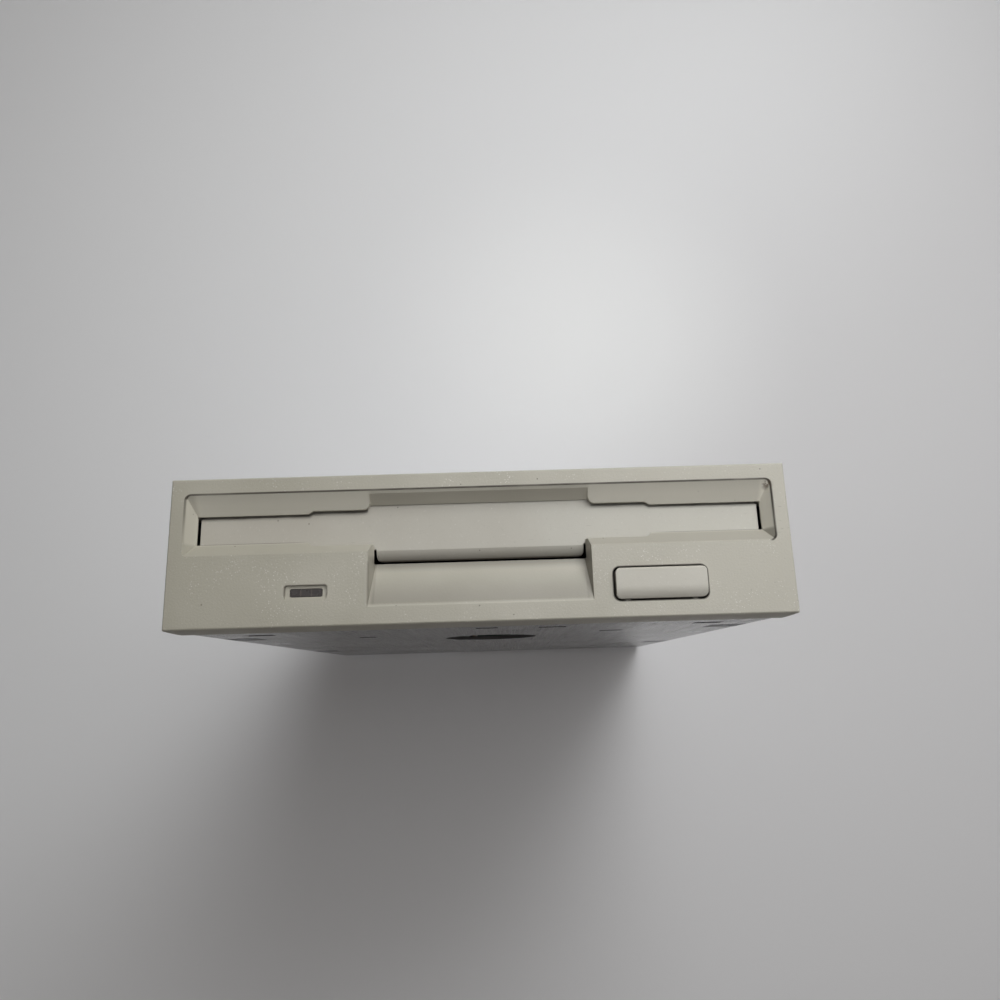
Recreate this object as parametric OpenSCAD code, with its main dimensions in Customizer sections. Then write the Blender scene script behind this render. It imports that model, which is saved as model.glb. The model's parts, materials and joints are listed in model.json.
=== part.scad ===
// A 3.5-inch floppy disk drive, lying flat with its bezel towards -Y.
// Depths run back from the bezel's face, and heights run up from the bezel's underside.

/* [Drive] */
// Width over the bezel
drive_w = 101.6; // [101:0.1:104]
// Height over the bezel
drive_h = 25.4; // [25.2:0.1:28]
// Depth from the bezel's face to the tail
drive_d = 145; // [144:0.5:155]
// Bezel edge past the covers, top and bottom
bezel_lip = 0.5; // [0.3:0.1:0.6]
// Bezel edge past the frame at each side
side_lip = 0.4; // [0.3:0.1:0.8]

/* [Bezel] */
// Thickness of the bezel's plate
bezel_t = 2.6; // [2.4:0.1:2.8]
// Depth of the bezel with its skirt
bezel_d = 5.2; // [4.6:0.1:5.8]
// Thickness of the skirt
skirt_t = 1.3; // [1:0.1:1.6]
// Rounding of the bezel's front edges
edge_r = 0.4; // [0.3:0.1:1]
// Draft of the bezel's sides
draft = 0.4; // [0.2:0.1:0.5]
// Corner of the bezel seen from the front
corner_r = 1.7; // [1.3:0.1:2]
// Slot past the disk at each end
slot_side = 1.6; // [1.3:0.1:1.8]
// Height of the disk slot at its ends
slot_h = 4.8; // [4.6:0.1:5]
// Height of the slot's middle line
slot_z = 16.7; // [16.5:0.05:16.9]
// Width of the taller middle of the slot
step_w = 55; // [48:0.5:60]
// Rise of the slot's upper edge in the middle
step_up = 0.45; // [0.2:0.05:0.6]
// Fall of the slot's lower edge in the middle
step_down = 0.75; // [0.4:0.05:0.8]
// Run of the sloping steps
step_run = 0.8; // [0.4:0.1:1.6]
// Spread of the sloped surround past the slot's ends
surround_side = 1.4; // [1:0.1:1.6]
// Spread of the surround above the slot
surround_top = 3.3; // [2.8:0.1:3.6]
// Spread of the surround below the slot
surround_under = 2.15; // [1.8:0.05:2.4]
// Depth of the sloped surround
surround_d = 2.3; // [1.8:0.1:2.3]
// Rounding of the surround's outer corners
surround_r = 1.1; // [0.6:0.1:1.3]
// Width of the finger notch
notch_w = 36; // [32:0.5:38]
// Lean of the notch's sides, from the face to the ramp's upper edge
cheek_in = 0.8; // [0.4:0.1:1.2]
// Height of the notch's ceiling above the slot's upper edge, at the face
ceiling_front = 3; // [2.8:0.1:3.2]
// Height of the ceiling above the slot's upper edge, at the flap
ceiling_back = 1.2; // [0.9:0.1:1.4]
// Rounding of the surround's inner ends
wing_r = 1.2; // [0.6:0.1:1.6]
// Height at which the finger ramp leaves the face
ramp_z = 3.3; // [2.6:0.1:4.5]
// Height of the ramp's upper edge
ramp_top = 10.5; // [10:0.1:10.5]
// Depth of the ramp's upper edge
ramp_d = 3.4; // [3:0.1:3.6]
// Wall behind the ramp
ramp_wall = 1.2; // [0.9:0.1:1.4]
// Middle of each hook from the drive's side
hook_in = 9.8; // [9.8:0.1:11.2]
// Width of a hook
hook_w = 4.6; // [3:0.2:5]
// Reach of the hooks behind the face
hook_d = 21; // [19:0.5:21.5]
// Thickness of a hook
hook_t = 1.2; // [0.9:0.1:1.4]
// Length of a hook's barb
barb_l = 2.4; // [1.6:0.1:2.8]

/* [Flap] */
// Thickness of the flap
flap_t = 1.2; // [1:0.1:1.3]
// Gap between the flap and the bezel
flap_gap = 0.25; // [0.2:0.05:0.4]
// Gap at each end of the flap
flap_end_gap = 0.4; // [0.3:0.1:0.6]
// Gap that shows along the flap's upper edge
flap_top_gap = 0.35; // [0.25:0.05:0.5]
// Depth of the rebate behind that gap
rebate_d = 0.7; // [0.5:0.1:0.7]
// Height of the flap's hinge above the slot's upper edge
flap_axis_up = 1.8; // [1.7:0.1:2]
// Radius of the flap's hinge pins
flap_pin_r = 0.8; // [0.6:0.05:0.9]
// Flap hidden below the slot's lower edge
flap_cover = 0.6; // [0.4:0.1:0.8]
// Underside of the flap's middle lip
lip_z = 10.95; // [10.85:0.05:11.1]
// Radius of the lip's front
lip_r = 3.6; // [3.2:0.1:3.8]
// Lean of the lip where it leaves the flap, in degrees
lip_start = 20; // [15:1:25]
// Lean of the lip's lower edge, in degrees
lip_turn = 55; // [50:1:58]
// Thickness of the ears that carry the hinge pins
ear_t = 1.4; // [1.1:0.1:1.5]
// Depth of the ears behind the bezel's plate
ear_d = 2.9; // [2.7:0.1:3.2]

/* [Eject button] */
// Button's middle from the drive's right side
button_in = 22.05; // [20:0.05:23]
// Button's middle height
button_z = 5.8; // [5.5:0.05:6]
// Width of the button
button_w = 14.5; // [12:0.1:15]
// Height of the button
button_h = 4.85; // [4.4:0.05:5]
// Corner radius of the button
button_r = 0.8; // [0.4:0.1:1.2]
// How far the button stands out at rest
button_proud = 1; // [0.6:0.1:1.4]
// Length of the button behind the face
button_l = 13.8; // [11:0.2:13.8]
// Fall of the button's lower edge
button_fall = 0.8; // [0.3:0.1:1]
// Gap round the button
button_gap = 0.32; // [0.25:0.01:0.4]
// Wall of the collar round the button
collar_t = 0.9; // [0.7:0.1:1.2]
// Depth of that collar behind the plate
collar_d = 2.8; // [2:0.1:3]

/* [Lamp] */
// Lamp's middle from the drive's left side
lamp_in = 22.95; // [20:0.05:25]
// Lamp's middle height
lamp_z = 5.85; // [5.7:0.05:6.1]
// Width of the lamp's window
lamp_w = 5.1; // [4:0.1:6]
// Height of the lamp's window
lamp_h = 1.2; // [1:0.1:1.4]
// Margin of the shallow frame round the window
lamp_margin = 0.85; // [0.5:0.05:1]
// Depth of that frame
lamp_frame_d = 0.5; // [0.3:0.1:0.8]
// Gap round the lamp
lamp_gap = 0.08; // [0.05:0.01:0.15]
// Depth of the lamp's body behind the face
lamp_l = 8; // [6.5:0.5:9]

/* [Frame] */
// Thickness of the frame's side walls
wall_t = 2; // [1.8:0.1:2.1]
// Height of the ledge under the top cover's skirts
ledge_z = 9.2; // [8.8:0.1:9.6]
// Underside of the deck
deck_z = 5.6; // [5.5:0.05:5.7]
// Thickness of the deck
deck_t = 1.6; // [1.4:0.1:1.7]
// Front edge of the deck
deck_y = 23; // [22.5:0.5:24]
// Least room behind the deck
deck_back = 5.5; // [5:0.1:6.5]
// Width of a mounting pad
pad_w = 6.4; // [6:0.1:6.4]
// Length of a mounting pad
pad_l = 7.6; // [7:0.2:9]
// First mounting holes behind the face
hole_y = 31; // [29:0.5:33]
// Second mounting holes behind the first
hole_pitch_1 = 70; // [70:0.5:71]
// Third mounting holes behind the first
hole_pitch_2 = 90; // [89:0.5:91]
// Height of the side holes above the base
hole_z = 5; // [5:0.1:5.2]
// Bottom holes from the drive's sides
hole_in = 3.175; // [3.175:0.025:3.8]
// Radius of the tapped mounting holes
hole_r = 1.25; // [1.1:0.05:1.3]
// Depth of the side holes
side_hole_d = 5; // [4:0.2:5]
// Depth of the bottom holes
base_hole_d = 3.2; // [2.5:0.1:3.2]
// Disk's supports from the disk's sides
post_in = 8; // [7:0.5:10]
// Front supports behind the face
post_y1 = 36; // [35:0.5:38]
// Rear supports behind the face
post_y2 = 82; // [80:0.5:84]
// Radius of a support
post_r = 1.6; // [1.3:0.1:1.8]
// Height of the disk's supports
post_z = 11; // [10.8:0.1:11.2]
// Rise of the locating pins on the front supports
locate_h = 2; // [1.5:0.1:2.2]

/* [Covers] */
// Thickness of the top cover's sheet
cover_t = 0.7; // [0.5:0.05:0.8]
// Bend radius of the top cover's edges
cover_bend = 1.2; // [1:0.1:1.4]
// Gap between the cover's skirts and the frame
cover_gap = 0.1; // [0.05:0.05:0.15]
// Thickness of the bottom plate
base_t = 0.8; // [0.6:0.05:0.9]
// Radius of the opening under the spindle
base_opening_r = 10; // [10:0.5:14]
// Depth of the pressed panels in the top cover
press_d = 0.3; // [0.2:0.05:0.35]
// Height of the top cover's rear flange
flange_h = 8.9; // [6:0.1:9]
// Depth of the cover screws' heads
head_h = 0.8; // [0.6:0.1:1]

/* [Disk holder] */
// Room between the disk and the drive's side
disk_side = 5.8; // [5.7:0.05:6]
// Gap at each side of the disk
disk_gap = 0.4; // [0.3:0.05:0.5]
// Height inside the holder
holder_h = 4.4; // [4.3:0.05:4.5]
// Thickness of the holder's sheet
holder_t = 0.8; // [0.7:0.05:0.9]
// Width of the rails under the disk
rail_w = 4.4; // [3.6:0.1:4.6]
// Front edge of the holder
holder_y = 16.5; // [16:0.5:18]
// Length of the holder
holder_l = 84.5; // [84:0.5:85]
// Width of the holder's opening for the head arm
arm_gap_w = 22; // [20:0.5:22]
// Front of that opening, behind the face
arm_gap_y = 62; // [56:0.5:64]
// Radius of the holder's pins
pin_r = 1.1; // [0.9:0.05:1.2]
// Front pins behind the face
pin_y1 = 36; // [34:0.5:38]
// Rear pins behind the face
pin_y2 = 80; // [78:0.5:81]

/* [Slide plate] */
// Thickness of the slide plate
slide_t = 0.8; // [0.7:0.05:0.9]
// Travel of the slide plate
slide_travel = 6; // [5.5:0.1:6]
// Fall of the holder over that travel
holder_drop = 3.6; // [3.4:0.05:3.6]
// Height of the slide plate above the holder
slide_over = 1.4; // [1.35:0.05:1.5]
// Gap between the slide plate's sides and the holder
slide_gap = 0.4; // [0.3:0.05:0.5]
// Front edge of the slide plate
slide_y = 21; // [20.5:0.5:22]
// Length of the slide plate
slide_l = 72; // [70:0.5:74]
// Lower edge of the slide plate's sides
slide_foot = 11; // [10:0.1:11.2]
// Front edge of the button's arm
button_arm_y = 14; // [14:0.1:14.4]
// Length of the button's arm
button_arm_l = 7.5; // [7.5:0.1:8]
// Underside of the button's tongue
tongue_z = 4.6; // [4.4:0.1:4.8]
// Width of the button's tongue
tongue_w = 8; // [5:0.2:9]
// Tongue inside the button
tongue_in = 9; // [6:0.2:10]
// Front anchors of the slide springs
anchor_y = 25; // [24:0.5:26]
// Rear hooks of the slide springs
hook_tab_y = 60; // [56:0.5:64]
// Slide springs inside the holder's sides
spring_in = 1.4; // [1.2:0.1:2.2]

/* [Shutter lever] */
// Lever's pivot from the holder's right side
lever_in = 6.2; // [6:0.1:6.7]
// Lever's pivot behind the face
lever_y = 70; // [69.5:0.1:70.5]
// Length of the lever
lever_l = 28; // [27:0.2:28]
// Thickness of the lever
lever_t = 1; // [0.8:0.05:1.1]
// Width of the lever's arm
lever_w = 4.4; // [3.5:0.1:5]
// Radius of the lever's hub
lever_hub_r = 4.2; // [3.8:0.1:4.4]
// Radius of the lever's rivet
rivet_r = 1.5; // [1.2:0.05:1.8]
// Radius of the lever's finger
finger_r = 1.2; // [1:0.05:1.4]
// Direction of the lever at rest
lever_angle = 160; // [158:0.5:161]
// Swing of the lever
lever_swing = 60; // [56:0.5:60]

/* [Spindle motor] */
// Spindle behind the face
spindle_y = 50; // [49.8:0.1:50.2]
// Radius of the spindle's shaft
shaft_r = 2; // [1.6:0.05:2.2]
// Rise of the shaft above the hub
shaft_up = 2.3; // [1.8:0.1:2.4]
// Radius of the hub
hub_r = 12.5; // [12.3:0.1:12.6]
// Top of the hub
hub_z = 10.9; // [10.8:0.05:11]
// Thickness of the hub's table
hub_t = 1.3; // [1.1:0.05:1.4]
// Thickness of the rotor's disk
yoke_t = 0.7; // [0.5:0.05:0.8]
// Outer radius of the rotor magnet
rotor_r = 16; // [15.5:0.1:16.2]
// Width of the rotor magnet
rotor_w = 3.2; // [2.4:0.1:3.4]
// Height of the rotor magnet
rotor_h = 3; // [2.6:0.05:3]
// Air gap round the rotor
air_gap = 1; // [0.8:0.1:1.2]
// Outer radius of the stator
stator_r = 26; // [25.6:0.1:26.2]
// Width of the stator's ring
stator_ring = 2; // [1.6:0.1:2.4]
// Thickness of the stator's core
core_t = 1.6; // [1.2:0.1:1.8]
// Height of a coil
coil_h = 3.6; // [3.2:0.1:3.6]
// Width of a coil
coil_w = 4.6; // [4.2:0.1:4.8]
// Length of a coil
coil_l = 4.8; // [4:0.1:5]
// Width of a stator tooth
tooth_w = 2.6; // [2:0.1:2.8]
// Coil places in a full ring
coil_places = 18; // [18:1:18]
// Gap left at the back for the heads, in degrees
stator_gap = 100; // [90:1:110]
// Radius of the bearing
bearing_r = 4.2; // [3.8:0.1:4.4]
// Radius of the bearing's flange
bearing_flange_r = 7; // [6:0.1:7.4]
// Radius of the drive pin
drive_pin_r = 1.2; // [1:0.05:1.3]
// Drive pin's distance from the spindle
drive_pin_at = 10.3; // [10.2:0.05:10.4]
// Rise of the drive pin above the hub
drive_pin_up = 1.5; // [1.2:0.1:1.7]
// Travel of the drive pin
drive_pin_travel = 1.2; // [1:0.1:1.2]
// Inner radius of the chuck magnet
chuck_in = 5; // [4:0.1:5.4]
// Outer radius of the chuck magnet
chuck_out = 8.2; // [7.4:0.1:8.4]
// Thickness of the chuck magnet
chuck_t = 0.7; // [0.5:0.05:0.8]

/* [Heads] */
// Heads behind the spindle at the outer track
track_zero = 39.5; // [39.3:0.05:39.7]
// Travel of the heads
head_travel = 14.8; // [14.2:0.1:14.8]
// Width of a head
head_w = 5; // [4:0.1:6]
// Top of the lower head
head_z = 12.5; // [12.3:0.05:12.6]
// Gap between the heads when loaded
head_gap = 0.2; // [0.15:0.05:0.25]
// Guide rod, right of the middle
rod_x = 12; // [11.9:0.05:12.1]
// Height of the guide rod and lead screw
rod_z = 9; // [8.95:0.05:9.05]
// Radius of the guide rod
rod_r = 1.25; // [1.1:0.05:1.3]
// Wall of the carriage's bushes
bush_wall = 0.75; // [0.6:0.05:0.75]
// Underside of the carriage
carriage_z = 6.4; // [6.2:0.05:6.6]
// Height of the carriage's body
carriage_h = 3.8; // [3.6:0.05:4]
// Left side of the carriage's body
carriage_left = 6.5; // [6.3:0.05:6.6]
// Right side of the carriage's body
carriage_right = 8.9; // [8.7:0.05:9]
// Carriage ahead of the heads
carriage_front = 5.5; // [5:0.1:5.6]
// Arm's pivot ahead of the carriage's end
pivot_in = 3; // [2.9:0.05:3.1]
// Height of the arm's pivot
pivot_z = 13.2; // [13.1:0.05:13.3]
// Radius of the arm's pivot pin
pivot_r = 0.8; // [0.6:0.05:0.9]
// Rise of the arm's front end at rest
arm_rise = 7.262; // [7.2:0.002:7.3]
// Width of the arm
arm_w = 9; // [7:0.1:9.6]
// Thickness of the arm
arm_t = 1.4; // [1.1:0.05:1.5]
// Underside of the arm above its pivot
arm_up = 1.7; // [1.6:0.05:1.8]
// Arm ahead of the head
arm_front = 4; // [3.2:0.1:4.2]
// Lifting finger ahead of the holder's end
lift_in = 3.5; // [3.4:0.05:3.7]
// Reach of the lifting finger to the left
lift_reach = 15; // [14:0.1:16]
// Width of the lifting finger
lift_w = 1.6; // [1.2:0.1:1.8]

/* [Stepper] */
// Lead screw, left of the middle
screw_x = 11.5; // [11.4:0.05:11.6]
// Radius of the lead screw
screw_r = 1.2; // [1:0.05:1.25]
// Radius of the stepper's can
can_r = 6; // [5.6:0.1:6.2]
// Room between the stepper's can and the signal pins
can_gap = 5.4; // [5:0.1:7]
// Thickness of the stepper's bracket
bracket_t = 0.8; // [0.6:0.05:0.9]
// Front of the bracket ahead of the heads
bracket_front = 10.5; // [10.3:0.1:10.6]
// Back plate of the bracket behind the carriage
bracket_gap = 1; // [0.9:0.1:1.3]

/* [Boards] */
// Thickness of the motor board
motor_board_t = 1.2; // [1:0.05:1.3]
// Thickness of the main board
main_board_t = 1.6; // [1.4:0.05:1.6]
// Gap between the main board and the deck
board_gap = 1.2; // [1.1:0.05:1.25]
// Room between the boards and the frame's walls
board_in = 5; // [4.9:0.1:6.4]
// Front edge of the main board
main_board_y = 97; // [94:0.5:98]
// Front edge of the motor board's wing
wing_y = 10; // [9.5:0.1:11]
// Height of the chips
chip_h = 1.1; // [0.8:0.05:1.15]
// Radius of the capacitors
cap_r = 2; // [1.5:0.1:2.2]
// Height of the capacitors
cap_h = 5.4; // [4:0.1:7]

/* [Connectors] */
// Signal header's middle, right of the drive's middle
header_x = 12; // [11:0.5:13]
// Pins in each row of the signal header
header_pins = 17; // [17:1:17]
// Pitch of the signal pins
header_pitch = 2.54; // [2.5:0.01:2.54]
// Side of a square pin
pin_side = 0.64; // [0.5:0.02:0.7]
// Length of the signal header's body
header_l = 50.8; // [48:0.1:51.4]
// Height of the signal header's body
header_h = 8.8; // [8.4:0.1:9.2]
// Depth of the signal header's body
header_d = 9.2; // [8.6:0.1:9.6]
// Wall of the signal header
header_wall = 1.1; // [0.9:0.05:1.2]
// Key slot of the signal header
key_w = 4.4; // [3.6:0.1:5]
// Power header's middle from the frame's left wall
power_in = 15.4; // [14.4:0.2:17.4]
// Pitch of the power pins
power_pitch = 2.5; // [2.5:0.02:2.54]
// Width of the power header
power_w = 12.4; // [11.6:0.1:13]
// Height of the power header
power_h = 6.8; // [6.4:0.1:7.4]
// Depth of the power header
power_d = 9.8; // [9:0.1:10]

/* [Sense switches] */
// Write protect switch from the board's left edge
protect_in = 5.5; // [5.4:0.1:6]
// Disk switch from the write protect switch
switch_pitch = 5.9; // [5.9:0.1:7.4]
// Front switches behind the face
switch_y = 15.4; // [13:0.1:16]
// Density switch from the board's right edge
density_in = 4.9; // [4.8:0.1:5.8]
// Density switch behind the face
density_y = 27; // [26.6:0.1:27.4]
// Width of a switch
switch_w = 5; // [4.4:0.1:5.2]
// Height of a switch
switch_h = 3.4; // [3:0.1:3.6]
// Radius of a plunger
plunger_r = 0.8; // [0.6:0.05:1]
// Rise of a plunger above its switch
plunger_up = 2.6; // [2:0.1:2.8]
// Travel of a plunger
plunger_travel = 0.9; // [0.6:0.1:1]

/* [Screws] */
// Radius of the bottom plate's screws
base_screw_r = 1; // [0.8:0.05:1.1]
// Radius of those screws' heads
base_head_r = 1.9; // [1.6:0.05:1.95]
// Front bottom plate screws behind the face
base_screw_y1 = 52; // [46:0.5:58]
// Rear bottom plate screws behind the face
base_screw_y2 = 112; // [111:0.5:112.5]
// Radius of the small screws
small_r = 0.9; // [0.7:0.05:1]
// Radius of the small screws' heads
small_head_r = 1.7; // [1.4:0.05:1.8]
// Height of the small screws' heads
small_head_h = 0.7; // [0.5:0.05:0.8]

/* [Fits] */
// Gap between pieces that move past each other
run_gap = 0.3; // [0.25:0.05:0.35]
// Radial gap of a running pin
pin_gap = 0.05; // [0.03:0.01:0.08]
// Gap between a sheet and the piece beside it
seam = 0.3; // [0.2:0.05:0.4]

/* [Hidden] */
$fn = 48;
// Bore depth past a face, so that cuts clear it
past = 0.5;

half_w = drive_w / 2;
frame_hw = half_w - side_lip;
inner_hw = frame_hw - wall_t;
upper_hw = frame_hw - cover_t - cover_gap;
face_y = -(drive_d - button_proud) / 2;

base_top = bezel_lip + base_t;
cover_top = drive_h - bezel_lip;
roof_z = cover_top - cover_t;
cover_screw_x = inner_hw - 8.4;
cover_screw_z = roof_z - 4;
frame_tail = drive_d - head_h - cover_t;
deck_top = deck_z + deck_t;

disk_w = drive_w - 2 * disk_side;
slot_hw = disk_w / 2 + slot_side;
slot_low = slot_z - slot_h / 2;
slot_high = slot_z + slot_h / 2;
notch_hw = notch_w / 2;
ceil_front_z = slot_high + ceiling_front;
ceil_back_z = slot_high + ceiling_back;

flap_hw = slot_hw - flap_end_gap;
flap_y = bezel_t + flap_gap;
flap_axis_y = flap_y + flap_t / 2;
flap_axis_z = slot_high + flap_axis_up;
flap_foot = slot_low - step_down - flap_cover;
lip_hw = notch_hw - cheek_in - 0.15;
ear_x = flap_hw + 0.45;
ear_half = 2;
spring_cut_x = flap_hw - 6.2;
spring_cut_w = 4.4;
spring_core_r = 0.4;

hook_x = half_w - hook_in;
hook_z = base_top + 0.15;
button_x = half_w - button_in;
lamp_x = half_w - lamp_in;
hook_slot_y = hook_d - barb_l - seam;

holder_hw = disk_w / 2 + disk_gap + holder_t;
holder_low = slot_z - holder_h / 2;
holder_high = slot_z + holder_h / 2;
holder_top = holder_high + holder_t;
holder_end = holder_y + holder_l;
rail_x = holder_hw - holder_t - rail_w;

slide_x = holder_hw + slide_gap;
slide_out = slide_x + slide_t;
slide_z = holder_top + slide_over;
slide_top = slide_z + slide_t;
slide_end = slide_y + slide_l;
cam_angle = atan2(holder_drop, slide_travel);
cam_l = norm([slide_travel, holder_drop]);
pin_tip = upper_hw - run_gap;
anchor_l = 2;
spring_x = holder_hw - spring_in;
spring_z = (slide_top + roof_z) / 2;

lever_x = holder_hw - lever_in;
lever_z = holder_top + 0.1;
lever_top = lever_z + lever_t;

motor_top = deck_z;
motor_low = deck_z - motor_board_t;
main_top = deck_z - board_gap;
main_low = main_top - main_board_t;
board_edge = frame_tail - wall_t - seam;
board_hw = inner_hw - board_in;
protect_x = board_hw - protect_in;
disk_switch_x = protect_x - switch_pitch;
density_x = board_hw - density_in;
post_x = disk_w / 2 - post_in;
hole_x = half_w - hole_in;
power_x = inner_hw - power_in;
motor_cable_x = [15, 21];
head_cable_x = [1, 8];
flex_t = 0.2;
socket_l = 3;
socket_h = 1;

yoke_z = hub_z - hub_t - yoke_t;
rotor_low = yoke_z - rotor_h;
tooth_in = rotor_r + air_gap;
coil_in = tooth_in + 1.2;
core_z = motor_top + (coil_h - core_t) / 2;
motor_hole_r = stator_r + 1.5;
bearing_low = motor_low - 1;

head_y = spindle_y + track_zero;
rear_room = frame_tail - head_y;
deck_end = frame_tail - deck_back - rear_room / 4;
carriage_back = rear_room / 2 - 4.5;
carriage_y0 = head_y - carriage_front;
carriage_y1 = head_y + carriage_back;
carriage_top = carriage_z + carriage_h;
bush_r = rod_r + pin_gap + bush_wall;
bush_l = 4;
bush_y1 = head_y + carriage_back / 3;
bush_y2 = carriage_y1 - 5;
flex_end = carriage_y1 + carriage_back * 0.4;
pivot_y = carriage_y1 - pivot_in;
arm_lift = asin(arm_rise / (pivot_y - head_y + arm_front));
lift_y = holder_end - lift_in;
lift_rear = pivot_y - lift_y - lift_w / 2;
lift_z = pivot_z + (holder_top + 0.1 - pivot_z - lift_rear * sin(arm_lift)) / cos(arm_lift);
arm_z = pivot_z + arm_up;
rod_post_l = 3.4;
rod_front = bush_y1 - head_travel - run_gap - rod_post_l;
rod_rear = bush_y2 + bush_l + 2.9;
rod_over = 0.5;

bracket_y0 = head_y - bracket_front;
bracket_y1 = carriage_y1 + bracket_gap;
can_y = bracket_y1 + bracket_t;
boss_r = rod_z - deck_top - 0.1;

header_y = frame_tail + cover_t + 0.4 - header_d;
power_y = frame_tail + cover_t + 0.4 - power_d;
pin_row_step = 1.4;
pins_back = header_y - 0.8 - pin_row_step;
can_l = pins_back - can_gap - can_y;

function arc(c, r, a0, a1, n = 6) =
  [for (i = [0:n]) c + r * [cos(a0 + (a1 - a0) * i / n), sin(a0 + (a1 - a0) * i / n)]];

// Centre of ring i of a coil of wire, eight rings to a turn
function ring_at(i, mean_r, pitch) =
  [mean_r * cos(45 * i), mean_r * sin(45 * i), pitch * i / 8];

// Least gap between one turn of a coil and the next
function coil_gap(mean_r, wire_r, pitch, turns) =
  min([for (i = [5:8 * turns]) norm(ring_at(i, mean_r, pitch) - ring_at(0, mean_r, pitch))]) - 2 * wire_r;

module block(x, y, z) {
  translate([x[0], y[0], z[0]])
    cube([x[1] - x[0], y[1] - y[0], z[1] - z[0]]);
}

// A block as wide to the left as to the right
module mid_block(hw, y, z) {
  block([-hw, hw], y, z);
}

// Extrudes an outline drawn in depth and height from x0 to x1
module along_x(x0, x1) {
  translate([x0, 0, 0])
    rotate([90, 0, 90])
      linear_extrude(x1 - x0)
        children();
}

// Extrudes an outline drawn in width and height from y0 to y1
module along_y(y0, y1) {
  translate([0, y1, 0])
    rotate([90, 0, 0])
      linear_extrude(y1 - y0)
        children();
}

// Extrudes a plan from z0 to z1
module along_z(z0, z1) {
  translate([0, 0, z0])
    linear_extrude(z1 - z0)
      children();
}

module pin_along_x(x0, x1, y, z, r) {
  translate([x0, y, z])
    rotate([0, 90, 0])
      cylinder(r = r, h = x1 - x0);
}

module pin_along_y(y0, y1, x, z, r) {
  translate([x, y1, z])
    rotate([90, 0, 0])
      cylinder(r = r, h = y1 - y0);
}

module pin_along_z(z0, z1, x, y, r) {
  translate([x, y, z0])
    cylinder(r = r, h = z1 - z0);
}

module both_sides() {
  children();
  mirror([1, 0, 0])
    children();
}

module rounded(w, h, r) {
  square([w - 2 * r, h], center = true);
  square([w, h - 2 * r], center = true);
  for (sx = [-1, 1])
    for (sz = [-1, 1])
      translate([sx * (w / 2 - r), sz * (h / 2 - r)])
        circle(r);
}

// A rounded opening or bar seen from the front
module front_bar(x, z, w, h, r, y0, y1) {
  translate([x, 0, z])
    along_y(y0, y1)
      rounded(w, h, r);
}

// The cross in a screw's head
module cross_cut(reach, z0, z1) {
  half = 0.25;
  block([-reach, reach], [-half, half], [z0, z1]);
  block([-half, half], [-reach, reach], [z0, z1]);
}

// A coil of round wire that rises along +Z from its first ring
module wire_coil(mean_r, wire_r, pitch, turns) {
  sides = 6;
  rings = 8 * turns;
  points = [for (i = [0:rings]) for (k = [0:sides - 1])
    ring_at(i, mean_r, pitch)
      + wire_r * [cos(60 * k) * cos(45 * i), cos(60 * k) * sin(45 * i), sin(60 * k)]];
  skin = [for (i = [0:rings - 1]) for (k = [0:sides - 1])
    let (a = i * sides + k, b = i * sides + (k + 1) % sides)
    each [[a, b, b + sides], [a, b + sides, a + sides]]];
  top = rings * sides;
  ends = [for (k = [1:sides - 2]) each [[0, k + 1, k], [top, top + k, top + k + 1]]];
  polyhedron(points, concat(skin, ends));
}

// A sloping slot for a pin of radius r
module cam_slot(x0, x1, y, z, r) {
  pin_along_x(x0, x1, y, z, r);
  pin_along_x(x0, x1, y + slide_travel, z - holder_drop, r);
  translate([x0, y, z])
    rotate([-cam_angle, 0, 0])
      translate([0, 0, 0.01 - r])
        cube([x1 - x0, cam_l, 2 * r - 0.02]);
}

module slot_outline() {
  side = step_w / 2;
  foot = slot_low - step_down;
  head = slot_high + step_up;
  right = [
    [slot_hw, slot_low],
    [slot_hw, slot_high],
    [side + step_run, slot_high],
    [side, head]
  ];
  left = [
    [-side, head],
    [-side - step_run, slot_high],
    [-slot_hw, slot_high],
    [-slot_hw, slot_low],
    [-side - step_run, slot_low],
    [-side, foot]
  ];
  polygon(concat(right, left, [[side, foot], [side + step_run, slot_low]]));
}

// The sloped surround of the slot
module surround() {
  ahead = 0.5;
  grow = (surround_d + ahead) / surround_d;
  low = slot_low - surround_under * grow;
  high = slot_high + surround_top * grow;
  out = slot_hw + surround_side * grow;
  points = [
    [-out, -ahead, low],
    [out, -ahead, low],
    [out, -ahead, high],
    [-out, -ahead, high],
    [-slot_hw, surround_d, slot_low],
    [slot_hw, surround_d, slot_low],
    [slot_hw, surround_d, slot_high],
    [-slot_hw, surround_d, slot_high]
  ];
  wide = 2 * (slot_hw + surround_side) + 0.2;
  tall = slot_h + surround_top + surround_under + 0.2;
  intersection() {
    polyhedron(points, [[3, 2, 1, 0], [4, 5, 6, 7], [0, 1, 5, 4], [1, 2, 6, 5], [2, 3, 7, 6], [3, 0, 4, 7]]);
    front_bar(0, slot_z + (surround_top - surround_under) / 2, wide, tall, surround_r, -1, bezel_t);
  }
}

// The notch over the flap's middle
module ceiling_notch() {
  head = slot_high + step_up;
  slope = (ceil_front_z - ceil_back_z) / bezel_t;
  right = concat([[notch_hw + wing_r, slot_z]], arc([notch_hw + wing_r, head + wing_r], wing_r, 270, 180));
  left = [for (i = [len(right) - 1:-1:0]) [-right[i][0], right[i][1]]];
  intersection() {
    along_y(-1, bezel_t + 1)
      polygon(concat(right, [[notch_hw, drive_h], [-notch_hw, drive_h]], left));
    along_x(-notch_w, notch_w)
      polygon([
        [-1, slot_z],
        [bezel_t + 1, slot_z],
        [bezel_t + 1, ceil_back_z - slope],
        [-1, ceil_front_z + slope]
      ]);
  }
}

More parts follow.
